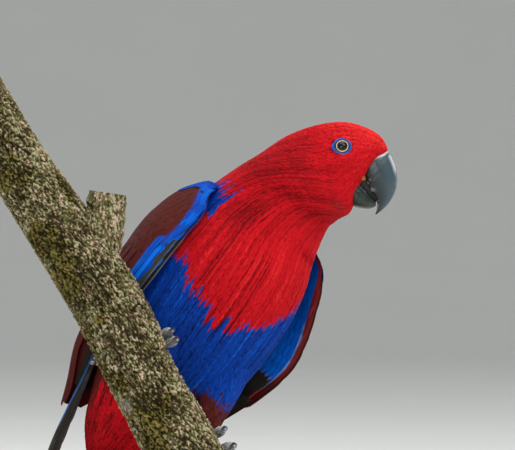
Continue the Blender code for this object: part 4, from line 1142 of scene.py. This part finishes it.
def make_wing(side, letter, material, core_material):
    vanes = Vanes(f"wing_{letter}_feathers", material)
    for add in (add_coverts, add_long_feathers, add_leading_edge, add_mantle_edge, add_inside,
                add_primaries):
        add(vanes, side)
    vanes.make("wing", f"wing_{letter}")
    ends = WING_EDGE[0, 0] + 1.5, WING_CORE_END - 4.0
    behind, across = np.meshgrid(
        np.linspace(*ends, WING_CORE_ROWS), shares(WING_CORE_COLUMNS), indexing="ij")
    point, normal = wing_frame(behind, across, side)
    inset = 1.5 - 1.0 * bell(across, 0.06)
    low = np.maximum(wing_depth(behind, across), inset + 0.2)
    outer_face, inner_face = (point - normal * depth[..., None] for depth in (inset, low))
    rings = np.concatenate((outer_face, inner_face[:, ::-1]), 1)
    front = step(84.0, 76.0, behind)
    outer_blue = (across < blue_edge(behind, side)).astype(float)
    inner_blue = step(0.0, 0.01, across - ramp(behind, INNER_RIM)) * front
    dark = step(0.07, 0.05, across) * step(32.0, 36.0, behind) * (side < 0)
    # The outer face is at the deepest tone, shade 0: painted shade where it shows between the feathers. The
    # inner face has full tone up to behind 76.
    blue, dark, shade = (np.concatenate((outer, inner[:, ::-1]), 1) for outer, inner in (
        (outer_blue, inner_blue), (dark, dark), (0 * front, front)))
    loft_piece(f"wing_{letter}_core", rings, core_material, "wing",
               marks=core_marks(blue, 0.9, shade, dark))


# Feathers on the body: the mantle's and the tail's coverts

def body_blade(vanes, behind, theta, length, half_width, rises, marks, turned, round_from):
    """One feather lying tailwards on the body. turned is the spread of its random turn."""
    rows = np.array(TORSO)[::-1]
    station = float(TORSO_FIRST + np.interp(behind, rows[:, 0], np.arange(len(TORSO))[::-1]))
    angle = rng.normal(0, turned)
    t = shares(VANE_ROWS)
    u = np.linspace(-1, 1, VANE_COLUMNS)
    _, _, along, around = body_frame(np.array([station]), np.array([theta]))
    stations = station - t * length * math.cos(angle) / along[0]
    thetas = theta + t * length * math.sin(angle) / around[0]
    _, _, _, wide = body_frame(stations, thetas)
    width = half_width * vane_width(t, 0.5, round_from)
    grid_t = thetas[:, None] + (width / wide)[:, None] * u * notched(VANE_ROWS, 0.12)
    point, normal, _, _ = body_frame(stations[:, None] + 0 * u, grid_t)
    rise = rises[0] + (rises[1] - rises[0]) * step(0, 0.5, t)
    height = rise[:, None] - 0.5 * u**2 + 0.12 * bell(u, 0.12)
    vanes.add(point + normal * height[..., None], normal, {"shade": rng.beta(3, 3), **marks})


def make_back(material):
    """Scapulars and back feathers between the wings, and the coverts above and below the tail."""
    vanes = Vanes("back_feathers", material)
    for row in range(11):
        for i in range(9 + row % 2):
            theta = 90.0 + (62.0 - 2.2 * row) * (2 * (i + 0.5 * (1 - row % 2)) / 9 - 1)
            behind = 26.0 + 9.5 * row + rng.normal(0, 0.8)
            body_blade(vanes, behind, theta, 17.0 + row * 0.5, 6.2, (-1.2, 0.35),
                       {"maroon": 1.0, "barbs": 14}, 0.05, 0.45)
    for middle, spread, maroon in ((90.0, 96.0, 0.75), (270.0, 118.0, 0.0)):
        for row in range(4):
            for i in range(8):
                theta = middle + spread * ((i + 0.5 * (row % 2)) / 7.5 - 0.5)
                body_blade(vanes, min(116.0 + 9.0 * row, 149.0), theta, 30.0 + 3.0 * row, 6.6,
                           (-1.2, 0.2 - 0.1 * row), {"maroon": maroon, "barbs": 24}, 0.04, 0.5)
    vanes.make("body_red")


TAIL_ROWS, TAIL_COLUMNS = 26, 9


def make_tail(material):
    """Pairs of long feathers, the middle pair on top."""
    vanes = Vanes("tail_feathers", material)
    t = shares(TAIL_ROWS)
    u = np.linspace(-1, 1, TAIL_COLUMNS)
    for i in range(TAIL_FEATHER_PAIRS):
        for side in (-1, 1):
            level = TAIL_LIFT + TAIL_STEP * (i + 1 if i or side < 0 else 0)
            root_out = 1.0 if i == 0 else 4.3 + 1.3 * (i - 1)
            tip_out = 2.5 if i == 0 else TAIL_HALF_WIDTH + 0.6 + TAIL_SPREAD * (i - 1)
            behind = TAIL_ROOT + (TAIL_TIP - 1.0 - 1.0 * i - 0.4 * i * i - TAIL_ROOT) * t
            middle = side * (root_out + (tip_out - root_out) * np.minimum(t / 0.72, 1.0))
            width = TAIL_HALF_WIDTH * vane_width(t, 0.5, 0.82)
            left = middle[:, None] + width[:, None] * u * notched(TAIL_ROWS, 0.08)
            rise = level + 0.25 * u**2 - 0.12 * bell(u, 0.10)
            surface = body_point(behind[:, None] + 0 * u, left, rise + 0 * t[:, None])
            marks = {"shade": rng.beta(3, 3), "barbs": 60.0, "maroon": 0.35 * step(0.6, 0.2, t)[:, None]}
            vanes.add(surface, np.zeros_like(surface) - BELLY, marks)
    vanes.make("tail", "tail")


# Thighs

THIGH_BLUE_END = {"r": 140.0, "l": 109.0}
THIGH_STRANDS, THIGH_STRAND_LENGTH = 5200, 11.0
THIGH_ROWS, THIGH_SIDES, THIGH_CORE_SIDES = 40, 96, 48


def thigh_blue(letter, points, ragged=0.0):
    """Blue above and maroon below, by the height of the points on the body."""
    return step(1.0, -1.0, how_far_behind(points) + ragged - THIGH_BLUE_END[letter])


def make_thigh(letter, table, material):
    """Feathered thigh: a core under strands that run down to the heel."""
    rows = resample(table, THIGH_ROWS)
    last = len(rows) - 1
    path = np.concatenate((body_point(rows[:, 0], rows[:, 1], rows[:, 2]), rows[:, 3:]), 1)
    inner = path.copy()
    inner[:, 3] = np.maximum(inner[:, 3] - 1.4, 0.6)
    rings = tube_rings(inner, THIGH_CORE_SIDES)
    loft_piece(f"thigh_{letter}_core", rings, material, "thigh", f"thigh_{letter}",
               marks=core_marks(thigh_blue(letter, rings), 1.0, 0.3))
    outer = tube_rings(path, THIGH_SIDES)
    count = THIGH_STRANDS
    at = rng.uniform(0, 0.88, count) * last
    turn = rng.uniform(0, THIGH_SIDES, count)
    length = np.linalg.norm(path[-1, :3] - path[0, :3])
    rows_at = np.clip(at[:, None] + STRAND_SHARES * (THIGH_STRAND_LENGTH / length * last), 0, last - 0.001)
    low = rows_at.astype(int)
    ahead = np.minimum(low + 1, last)
    share = (rows_at - low)[..., None]
    k = (turn[:, None] + STRAND_SHARES * rng.normal(0, 1.6, count)[:, None]).astype(int) % THIGH_SIDES
    surface = outer[low, k] * (1 - share) + outer[ahead, k] * share
    axis = path[low, :3] * (1 - share) + path[ahead, :3] * share
    normal = unit(surface - axis)
    heights = np.array((-1.4, -0.4, -0.1, -0.3)) + rng.uniform(-0.25, 0.1, (count, 1))
    strand_path = surface + normal * heights[..., None]
    half = 0.5 * rng.uniform(0.7, 1.1, count)
    blue = thigh_blue(letter, strand_path[:, 2], rng.normal(0, 2.5, count))
    marks = {"shade": 0.34 + 0.5 * rng.beta(2.5, 2.5, count) - 0.10 * blue, "blue": blue,
             "maroon": np.ones(count), "flight": np.zeros(count)}
    spot = inside(np.stack((turn / THIGH_SIDES, at / len(rows)), -1))
    strands(f"thigh_{letter}_coat", strand_path, normal, half, marks, spot, material, "thigh")


# Head: bill, mouth and eyes

# (x, z, radius), and (x, out, z, radius) at the corner of the bill
MOUTH = (
    (58.0, 22.0, 4.0), (61.0, 23.5, 5.4), (63.8, 23.2, 5.8), (66.4, 20.6, 5.2), (68.4, 17.8, 4.6),
    (70.6, 14.8, 3.6), (72.2, 12.4, 1.8),
)
MOUTH_CORNER = (
    (61.2, 7.2, 28.6, 0.5), (62.4, 8.6, 27.4, 1.5), (63.4, 9.0, 26.2, 1.5), (64.6, 8.2, 25.4, 0.4),
)
BILL_ROWS, BILL_SIDES = 90, 72
MOUTH_ROWS, MOUTH_SIDES, MOUTH_CORNER_SIDES = 24, 24, 20


def bill_rings(table, flatten, low_power):
    made = []
    angle = circle(BILL_SIDES)
    rise = np.sin(angle)
    wide = np.sign(np.cos(angle)) * np.abs(np.cos(angle)) ** np.where(rise < 0, low_power, 0.8)
    for ridge_x, ridge_z, edge_x, edge_z, half in resample(table, BILL_ROWS):
        ridge = SHOULDER + (ridge_x, BILL_DEPTH_Y, ridge_z)
        edge = SHOULDER + (edge_x, BILL_DEPTH_Y, edge_z)
        height = max(np.linalg.norm(ridge - edge), 0.05)
        up = (ridge - edge) / height
        across = half * wide * (1.0 - flatten * np.maximum(rise, 0.0))
        made.append((ridge + edge) / 2 + ((height / 2 * rise)[:, None] * up + across[:, None] * FAR))
    return np.array(made)


def make_bill(upper_material, lower_material, mouth_material, gape_material):
    for node, table, material, flatten, low_power in (
        ("beak_upper", UPPER_BILL, upper_material, 0.24, 0.40),
        ("beak_lower", LOWER_BILL, lower_material, 0.05, 0.75),
    ):
        rings = bill_rings(table, flatten, low_power)
        along, angle = np.meshgrid(shares(BILL_ROWS), circle(BILL_SIDES), indexing="ij")
        centre = rings.mean(1, keepdims=True)
        grain = np.array([noise.noise(Vector(p * 0.35)) for p in rings.reshape(-1, 3)]).reshape(along.shape)
        shrink = 0.981 + 0.008 * grain - 0.004 * np.sin(along * 70.0)
        rings = centre + (rings - centre) * shrink[..., None]
        # Upper bill only: its pale cere rim and its painted ridge highlight.
        cere_and_ridge_highlight = np.full(along.shape, float(table is UPPER_BILL))
        loft_piece(f"{node}_horn", rings, material, "bill", node,
                   marks={"height": np.sin(angle) * 0.5 + 0.5, "along": along, "cere_and_ridge_highlight": cere_and_ridge_highlight})
    # Near-black tube between the mandibles: the mouth's own dark inside and painted shade of the gap.
    rows = [(*(SHOULDER + (x, BILL_DEPTH_Y, z)), radius) for x, z, radius in resample(MOUTH, MOUTH_ROWS)]
    loft_piece("mouth", tube_rings(rows, MOUTH_SIDES), mouth_material, "bill")
    for side, letter in ((-1, "r"), (1, "l")):
        corner = [
            (*(SHOULDER + (x, BILL_DEPTH_Y + side * y, z)), radius) for x, y, z, radius in MOUTH_CORNER
        ]
        rings = tube_rings(resample(corner, MOUTH_ROWS), MOUTH_CORNER_SIDES)
        loft_piece(f"mouth_corner_{letter}", rings, gape_material, "bill")


LID_RADIUS, LID_THICK, LID_STRETCH = 4.38, 0.48, 1.06
LID_TURNS, LID_SIDES = 96, 16
EYE_ROWS, EYE_SIDES = 60, 72
EYE_FEATHERS = 620


def gaze_frame(side):
    """Centre of the eye, the way it looks, and the directions across and up its face."""
    outward = unit((0.03, side, 0.34))
    across = unit(np.cross(outward, UP))
    centre = SHOULDER + (EYE_X, BILL_DEPTH_Y + side * EYE_OUT, EYE_Z)
    return centre, outward, across, np.cross(across, outward)


def make_lid(side, letter, high, material):
    """Round rim about the gaze, high mm out from the eye's centre."""
    centre, outward, across, upward = gaze_frame(side)
    a = circle(LID_TURNS)[:, None]
    b = circle(LID_SIDES)[None, :]
    lumps = 1 + 0.10 * np.sin(a * 23) * np.cos(b)
    rise = high + LID_THICK * 0.8 * np.sin(b) * lumps
    spoke = np.cos(a)[..., None] * across * LID_STRETCH + np.sin(a)[..., None] * upward
    points = centre + spoke * (LID_RADIUS + LID_THICK * np.cos(b))[..., None] + outward * rise[..., None]
    r = np.arange(LID_TURNS)[:, None]
    c = np.arange(LID_SIDES)[None, :]
    after, above = (r + 1) % LID_TURNS * LID_SIDES, (c + 1) % LID_SIDES
    r = r * LID_SIDES
    faces = np.stack((r + c, after + c, after + above, r + above), -1).reshape(-1, 4)
    faces = faces[:, ::-1] if side > 0 else faces
    place(make_mesh(f"eye_{letter}_lid", points.reshape(-1, 3), faces, material), "eye")


def make_eye(side, letter, eye_surface, lid_material, plumage):
    centre, outward, across, upward = gaze_frame(side)
    turn, angle = (grid[..., None] for grid in np.meshgrid(
        np.linspace(0.02, math.pi - 0.02, EYE_ROWS), circle(EYE_SIDES), indexing="ij"))
    direction = np.cos(turn) * outward + np.sin(turn) * (np.cos(angle) * across + np.sin(angle) * upward)
    cornea = 0.25 * bell(turn, 0.45)
    loft_piece(f"eye_{letter}_ball", centre + direction * (EYE_RADIUS - 0.05 + cornea), eye_surface, "eye",
               f"eye_{letter}", marks={"ring": np.where(turn < math.pi / 2, np.sin(turn), 1.0)})
    reach = math.sqrt(EYE_RADIUS**2 - 4.35**2)
    make_lid(side, letter, reach + 0.05, lid_material)
    count = EYE_FEATHERS
    a = rng.uniform(0, 2 * math.pi, count)
    from_rear = (a - math.pi * (0.5 + 0.5 * side) + math.pi) % (2 * math.pi) - math.pi
    out_from = rng.uniform(4.5, 4.8, count)
    reach_out = rng.uniform(0.55, 0.85, count) + 1.1 * bell(from_rear, 0.28)
    spoke = np.cos(a)[:, None] * across * 1.08 + np.sin(a)[:, None] * upward
    lie = rng.normal(0, 0.35, count)
    swirl = -np.sin(a)[:, None] * across + np.cos(a)[:, None] * upward
    base = centre + spoke * out_from[:, None]
    path = base[:, None] + (spoke + swirl * lie[:, None])[:, None] * STRAND_SHARES[None, :, None] \
        * reach_out[:, None, None]
    fall = 0.10 + 0.45 * np.sin(np.array((0.15, 1.3, 2.0, 2.9))) - np.array((0.2, 0.1, 0.35, 0.75))
    path = path + outward * (reach - 0.15 + fall)[None, :, None]
    half = rng.uniform(0.16, 0.26, count)
    ones = np.ones(count)
    marks = {"shade": rng.uniform(0.45, 1.25, count), "along": 0.6 * ones, "blue": ones, "maroon": ones,
             "flight": 0 * ones}
    spot = 0.5 + 0.45 * np.stack((np.cos(a), np.sin(a)), -1)
    normal = np.broadcast_to(outward, path.shape)
    strands(f"eye_{letter}_feathers", path, normal, half, marks, spot, plumage, "body_red")


# Perch and feet

PERCH_STEPS = np.linalg.norm(np.diff(np.array(PERCH_AXIS)[:, :2], axis=0), axis=1)
PERCH_MARKS = np.append(0.0, np.cumsum(PERCH_STEPS))
PERCH_LENGTH = PERCH_MARKS[-1]
# (along, angle, half length, half angle) of the healed knot and of places with more moss
KNOB = (94.0, 228.0, 5.0, 11.0)
MOSSY = ((190.0, 240.0, 44.0, 42.0), (78.0, 200.0, 12.0, 34.0), (262.0, 225.0, 40.0, 50.0))
BARK_DEPTH = 2.2
BARK_ROWS, BARK_SIDES = 450, 220
STUB_ROWS, STUB_SIDES = 90, 120
TOE_SCUTES, SHANK_SCUTES, PAD_SCUTES = 17, 12, 5
FOOT_ROWS, TOE_ROWS, CLAW_ROWS = 60, 150, 40
FOOT_SIDES, CLAW_SIDES = 32, 24


def perch_axis(at):
    """Axis points and radii at distances along the branch from its lower cut end."""
    rows = smooth(PERCH_MARKS, PERCH_AXIS, at)
    depth = np.full(rows.shape[:-1] + (1,), PERCH_Y)
    return SHOULDER + np.concatenate((rows[..., :1], depth, rows[..., 1:2]), -1), rows[..., 2]


def perch_point(at, angle, above=0.0):
    """Point above the bark: angle 0 is the far side, 90 degrees the image's right."""
    at = np.asarray(at, float)
    angle = np.radians(angle)
    centre, radius = perch_axis(at)
    ahead, _ = perch_axis(np.minimum(at + 3.0, PERCH_LENGTH))
    behind, _ = perch_axis(np.maximum(at - 3.0, 0.0))
    right = unit(np.cross(FAR, unit(ahead - behind)))
    wave = 0.5 * np.sin(3 * angle + at / 34.0) + 0.35 * np.sin(2 * angle - at / 18.0)
    reach = (radius + wave + above)[..., None]
    return centre + (FAR * np.cos(angle)[..., None] + right * np.sin(angle)[..., None]) * reach


def bark_relief(centre, points, at):
    """Height of the bark, 0 to 1, and moss, at points: grains and cracks drawn out along it."""
    height = np.empty(len(points))
    moss_and_shade = np.empty(len(points))
    ahead = unit(centre[-1] - centre[0])
    drawn = points - ahead * ((points @ ahead) * 0.30)[:, None]
    for k, (offset, p, along) in enumerate(zip(points - centre, points, at)):
        v = Vector(drawn[k])
        q = Vector(p)
        grain = noise.noise(v * 0.42) * 0.30 + noise.noise(v * 0.80) * 0.42 + noise.noise(v * 1.35) * 0.40
        crack = abs(noise.noise(Vector(offset) * 0.16 + Vector((along * 0.030, 3.0, 1.0))))
        level = 0.54 + 1.15 * grain + 0.22 * noise.noise(v * 0.10)
        height[k] = level - 0.45 * max(0.0, 0.05 - crack) / 0.05
        moss_and_shade[k] = noise.noise(q * 0.045 + Vector((4.0, 0.0, 7.0))) + 0.45 * noise.noise(q * 0.16)
    return np.clip(height, 0, 1), moss_and_shade


def cut_end(name, edge, along, material):
    """Thin disc of sawn wood, a little proud of the cut end inside the bark's edge."""
    share = np.linspace(0.0, 0.97, 12)[:, None, None]
    middle = edge.mean(0)
    disc = middle + (edge - middle) * share + along * (0.20 - 0.10 * share)
    rings = np.concatenate((disc, (disc - along)[::-1]))
    radius = np.concatenate((share, share[::-1]))[..., 0] + np.zeros(len(edge))
    loft_piece(name, rings, material, "bark", marks={"radius": radius})


def make_perch(bark, cut_wood):
    rows, sides = BARK_ROWS, BARK_SIDES
    at = np.linspace(0, PERCH_LENGTH, rows)
    angle = np.linspace(0, 360, sides, endpoint=False)
    angle = angle + 18.0 * np.sin(np.radians(angle))
    grid_at, grid_angle = np.meshgrid(at, angle, indexing="ij")

    def spot(middle_at, middle_angle, long, wide):
        return ((grid_at - middle_at) / long) ** 2 + ((grid_angle - middle_angle) / wide) ** 2

    rings = perch_point(grid_at, grid_angle, -0.5)
    centre, _ = perch_axis(at)
    middles = np.repeat(centre, sides, axis=0)
    height, moss_and_shade = bark_relief(middles, rings.reshape(-1, 3), grid_at.ravel())
    knob = step(1.25, 0.75, spot(*KNOB))
    height = height.reshape(knob.shape) * (1 - 0.6 * knob) + 0.5 * knob
    # shaded: more moss towards the camera's left, the branch's shadow side, as painted shade; then the
    # mossy places.
    shaded = 0.12 * np.sin(np.radians(grid_angle - 180.0)) - 0.06
    shaded = shaded + sum(0.42 * np.exp(-spot(*place_of)) for place_of in MOSSY)
    moss_and_shade = step(0.18, 0.46, moss_and_shade.reshape(knob.shape) + shaded) * (1 - knob)
    rings = rings + unit(centre[:, None] - rings) * (BARK_DEPTH * (1 - height))[..., None]
    marks = {"height": height, "moss_and_shade": moss_and_shade, "knob": knob}
    loft_piece("perch_bark", rings, bark, "bark", "perch", marks=marks)
    cut_end("perch_end_low", rings[0], unit(centre[0] - centre[1]), cut_wood)
    cut_end("perch_end_top", rings[-1], unit(centre[-1] - centre[-2]), cut_wood)
    stub = np.array([
        (*(SHOULDER + (x, PERCH_Y, z)), radius) for x, z, radius in resample(STUB_PATH, STUB_ROWS)
    ])
    rings = tube_rings(stub, STUB_SIDES)
    axis = stub[:, :3]
    run = np.linspace(0, 40, STUB_ROWS)
    centres = np.repeat(axis, STUB_SIDES, axis=0)
    height, _ = bark_relief(centres, rings.reshape(-1, 3), np.repeat(run, STUB_SIDES))
    height = height.reshape(STUB_ROWS, STUB_SIDES)
    scars = 0.5 + 0.5 * np.sin(run)[:, None]
    rings = rings + unit(axis[:, None] - rings) * (0.6 + 1.4 * (1 - height) + 0.7 * scars)[..., None]
    marks = {"height": height * 0.8 + 0.22, "moss_and_shade": height * 0, "knob": height * 0}
    loft_piece("perch_stub", rings, bark, "bark", marks=marks)
    cut_end("perch_stub_end", rings[-1], unit(axis[-1] - axis[-2]), cut_wood)


def toe_path(foot_at, aside, start, end, share):
    """Toe round the branch, with a pad at each joint and scutes over it."""
    t = shares(TOE_ROWS)
    pad = 0.1 * np.cos(t * 2.5 * 2 * math.pi)
    scute = 0.035 * np.sin(t * 2 * math.pi * TOE_SCUTES)
    radius = TOE_RADIUS * (1 - 0.24 * t + pad) * share
    at = foot_at + aside * np.sin(t * math.pi / 2)
    points = perch_point(at, start + (end - start) * t, radius - 0.7 + TOE_ARCH * t**2 - 0.9)
    return np.concatenate((points, (radius * (1 + scute))[:, None]), 1)


def rounded_tube(path, count=6):
    """Rings along the path with its radius drawn in over the last rows at both ends."""
    for k in range(count):
        share = math.sin(math.acos(1 - (k + 0.15) / count))
        path[k, 3] *= share
        path[-1 - k, 3] *= share
    return tube_rings(path, FOOT_SIDES)


def make_foot(letter, foot_at, toes, table, scales, claw_horn):
    ankle = perch_point(np.array(foot_at), np.array(0.0), ANKLE_ABOVE)
    heel = body_point(*table[-1][:3])
    heel = heel + unit(heel - ankle) * 3.0
    t = shares(FOOT_ROWS)[:, None]
    shank_radius = 4.0 + 1.1 * (2 * t - 1) ** 2 + 0.12 * np.sin(t * 2 * math.pi * SHANK_SCUTES)
    shank = np.concatenate((heel + (ankle - heel) * t, shank_radius), 1)
    at = foot_at + FOOT_PAD_LENGTH * (t[:, 0] - 0.5)
    pad = np.concatenate((perch_point(at, 0 * at, 2.6), 5.6 * np.sin(math.pi * (0.14 + 0.72 * t))), 1)
    pieces = [(rounded_tube(shank), SHANK_SCUTES), (rounded_tube(pad), PAD_SCUTES)]
    pieces += [(rounded_tube(toe_path(foot_at, *toe[1:]), 12), TOE_SCUTES) for toe in toes]
    points, faces, ridges = [], [], []
    total = 0
    for rings, scutes in pieces:
        ridge = np.repeat(0.5 + 0.5 * np.sin(shares(len(rings)) * 2 * math.pi * scutes), rings.shape[1])
        ridges += [ridge, [0.5, 0.5]]
        made, triangles = lofted(rings)
        points.append(made)
        faces.append(triangles + total)
        total += len(made)
    foot = make_mesh(f"foot_{letter}_skin", np.concatenate(points), np.concatenate(faces), scales,
                     {"ridge": np.concatenate(ridges)})
    place(foot, "foot", f"foot_{letter}")
    t = shares(CLAW_ROWS)
    for title, aside, _, end, share in toes:
        turn = math.degrees(CLAW_LENGTH * share / CLAW_ORBIT) * t - 3.0
        radius = (2.1 * (1 - t) ** 0.8 + 0.25 * t) * share
        above = (3.1 + TOE_ARCH - 0.9 + 1.2 * np.sin(math.pi * t * 0.8)) * (1 - t) + 0.4 * t
        points = perch_point(foot_at + aside + 0 * t, end + math.copysign(1.0, end) * turn, above)
        rings = tube_rings(np.concatenate((points, radius[:, None]), 1), CLAW_SIDES)
        loft_piece(f"claw_{letter}_{title}_horn", rings, claw_horn, "claw", f"claw_{letter}_{title}")


# Stage

FLOOR_RADIUS, FLOOR_RISE, FLOOR_TOP = 6.0, 4.0, 9.0
FLOOR_ROWS, FLOOR_RISE_ROWS, FLOOR_SIDES = 40, 30, 96
# (name, place, size, power, colour, height when it isn't square)
LIGHTS = (
    ("sky", (0.0, -0.6, 6.4), 6.0, 330.0, (0.97, 0.99, 1.0), None),
    ("key", (1.5, -1.7, 2.3), 1.0, 34.0, (1.0, 0.97, 0.93), None),
    ("fill", (-0.7, -3.2, 0.9), 1.4, 34.0, (0.95, 0.98, 1.0), None),
    ("rim", (1.9, 1.3, 1.0), 0.5, 17.0, (1.0, 0.98, 0.95), 1.9),
    ("back", (-1.6, 1.8, 1.5), 1.6, 18.0, (1.0, 1.0, 1.0), None),
)


def make_stage():
    """Plain pale floor that rises all round, lights and camera."""
    n = Nodes("pale_floor")
    floor_material = n.finish(n.mix(n.noise(3.0, 4.0), (0.66, 0.66, 0.64), (0.70, 0.70, 0.68)), 0.9)
    rise = np.linspace(0, math.pi / 2, FLOOR_RISE_ROWS)[1:]
    flat = np.linspace(0.01, FLOOR_RADIUS, FLOOR_ROWS)
    wall = FLOOR_RADIUS + FLOOR_RISE
    radii = np.concatenate((flat, FLOOR_RADIUS + FLOOR_RISE * np.sin(rise), [wall]))
    heights = np.concatenate((np.zeros(FLOOR_ROWS), FLOOR_RISE * (1 - np.cos(rise)), [FLOOR_TOP]))
    angle = circle(FLOOR_SIDES)
    rings = np.stack((radii[:, None] * np.cos(angle), radii[:, None] * np.sin(angle),
                      heights[:, None] + 0 * angle), -1) / MM
    faces = grid_faces(len(radii), len(angle), True)
    floor = make_mesh("floor", rings.reshape(-1, 3), faces, floor_material)
    for name, location, size, power, colour, height in LIGHTS:
        light = bpy.data.lights.new(name, "AREA")
        light.size = size
        if height:
            light.shape = "RECTANGLE"
            light.size_y = height
        light.energy = power
        light.color = colour
        lamp = add_object(name, light)
        lamp.location = location
        lamp.rotation_euler = (Vector(SHOULDER * MM) - Vector(location)).to_track_quat("-Z", "Y").to_euler()
    world = bpy.data.worlds.new("studio")
    bpy.context.scene.world = world
    world.use_nodes = True
    background = world.node_tree.nodes["Background"]
    background.inputs[0].default_value = (0.93, 0.96, 1.0, 1.0)
    background.inputs[1].default_value = 0.34
    camera = bpy.data.cameras.new("camera")
    camera.lens = CAMERA_LENS
    camera.sensor_width = CAMERA_SENSOR
    holder = add_object("camera", camera)
    holder.location = CAMERA_AT
    holder.rotation_euler = (math.radians(90), 0, 0)
    bpy.context.scene.camera = holder
    bpy.context.scene.view_settings.view_transform = "Standard"


def wing_cover(station, theta):
    """True where the body shows, or nearly: the part under the wings' middles is left bare."""
    behind = how_far_behind(body_surface(station, theta))
    right = (theta > 128) & (theta < 178)
    left = (theta > 2) & (theta < 52)
    return ~((behind > 14) & (behind < 118) & (right | left))


def head_cover(station, theta):
    """True away from the eyes."""
    points = body_surface(station, theta)
    away = np.ones(len(points), bool)
    for side in (-1, 1):
        centre, outward, _, _ = gaze_frame(side)
        offset = points - centre
        along = offset @ outward
        across = np.linalg.norm(offset - along[:, None] * outward, axis=1)
        away &= (across > 5.0) | (np.abs(along) > 12)
    return away


def main():
    plumage = plumage_material("plumage")
    blades = vane_material("feather_blades")
    make_skin(plumage)
    coat("coat_body", 0.3, NECK_FIRST - 0.2, plumage, "body_blue", wing_cover)
    coat("coat_neck", NECK_FIRST - 0.2, NECK_FIRST + 2.6, plumage, "body_red")
    coat("coat_head", NECK_FIRST + 2.6, FOREHEAD, plumage, "body_red", head_cover)
    for side, letter in ((-1, "r"), (1, "l")):
        make_wing(side, letter, blades, plumage)
    make_back(blades)
    make_tail(blades)
    make_thigh("r", THIGH_RIGHT, plumage)
    make_thigh("l", THIGH_LEFT, plumage)
    # Upper bill: its lighter, bluish top colour is a painted sky reflection.
    upper = bill_material("upper_horn", (0.042, 0.074, 0.096), (0.013, 0.017, 0.014), (0.020, 0.014, 0.010),
                          0.22, 0.0)
    # Lower bill: its pale lip, height 0.80 to 0.97, is wear and painted highlight.
    lower = bill_material("lower_horn", (0.016, 0.026, 0.022), (0.020, 0.030, 0.019), (0.03, 0.03, 0.02),
                          0.80, 0.97)
    # Mouth: its own dark colour and painted shade of the gap between the mandibles.
    mouth = skin_material("mouth_dark_and_shade", (0.012, 0.010, 0.010), (0.006, 0.005, 0.005), 300.0)
    gape = skin_material("gape_skin", (0.55, 0.17, 0.02), (0.30, 0.06, 0.01), 900.0)
    make_bill(upper, lower, mouth, gape)
    eye_surface = eye_material()
    lid = skin_material("lid_skin", (0.05, 0.06, 0.075), (0.02, 0.024, 0.03), 900.0)
    for side, letter in ((-1, "r"), (1, "l")):
        make_eye(side, letter, eye_surface, lid, plumage)
    scales = skin_material("foot_scales", (0.66, 0.64, 0.64), (0.32, 0.32, 0.33), 620.0, 0.5, True)
    horn = claw_material()
    make_foot("r", FOOT_RIGHT_AT, TOES_RIGHT, THIGH_RIGHT, scales, horn)
    make_foot("l", FOOT_LEFT_AT, TOES_LEFT, THIGH_LEFT, scales, horn)
    make_perch(bark_material(), cut_wood_material())
    steel = rod_material()
    stand = {"stand_base": board_material(), "stand_rod_1": steel, "stand_rod_2": steel}
    for name, material in stand.items():
        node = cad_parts[name]
        node.data.materials.clear()
        node.data.materials.append(material)
    make_stage()


main()
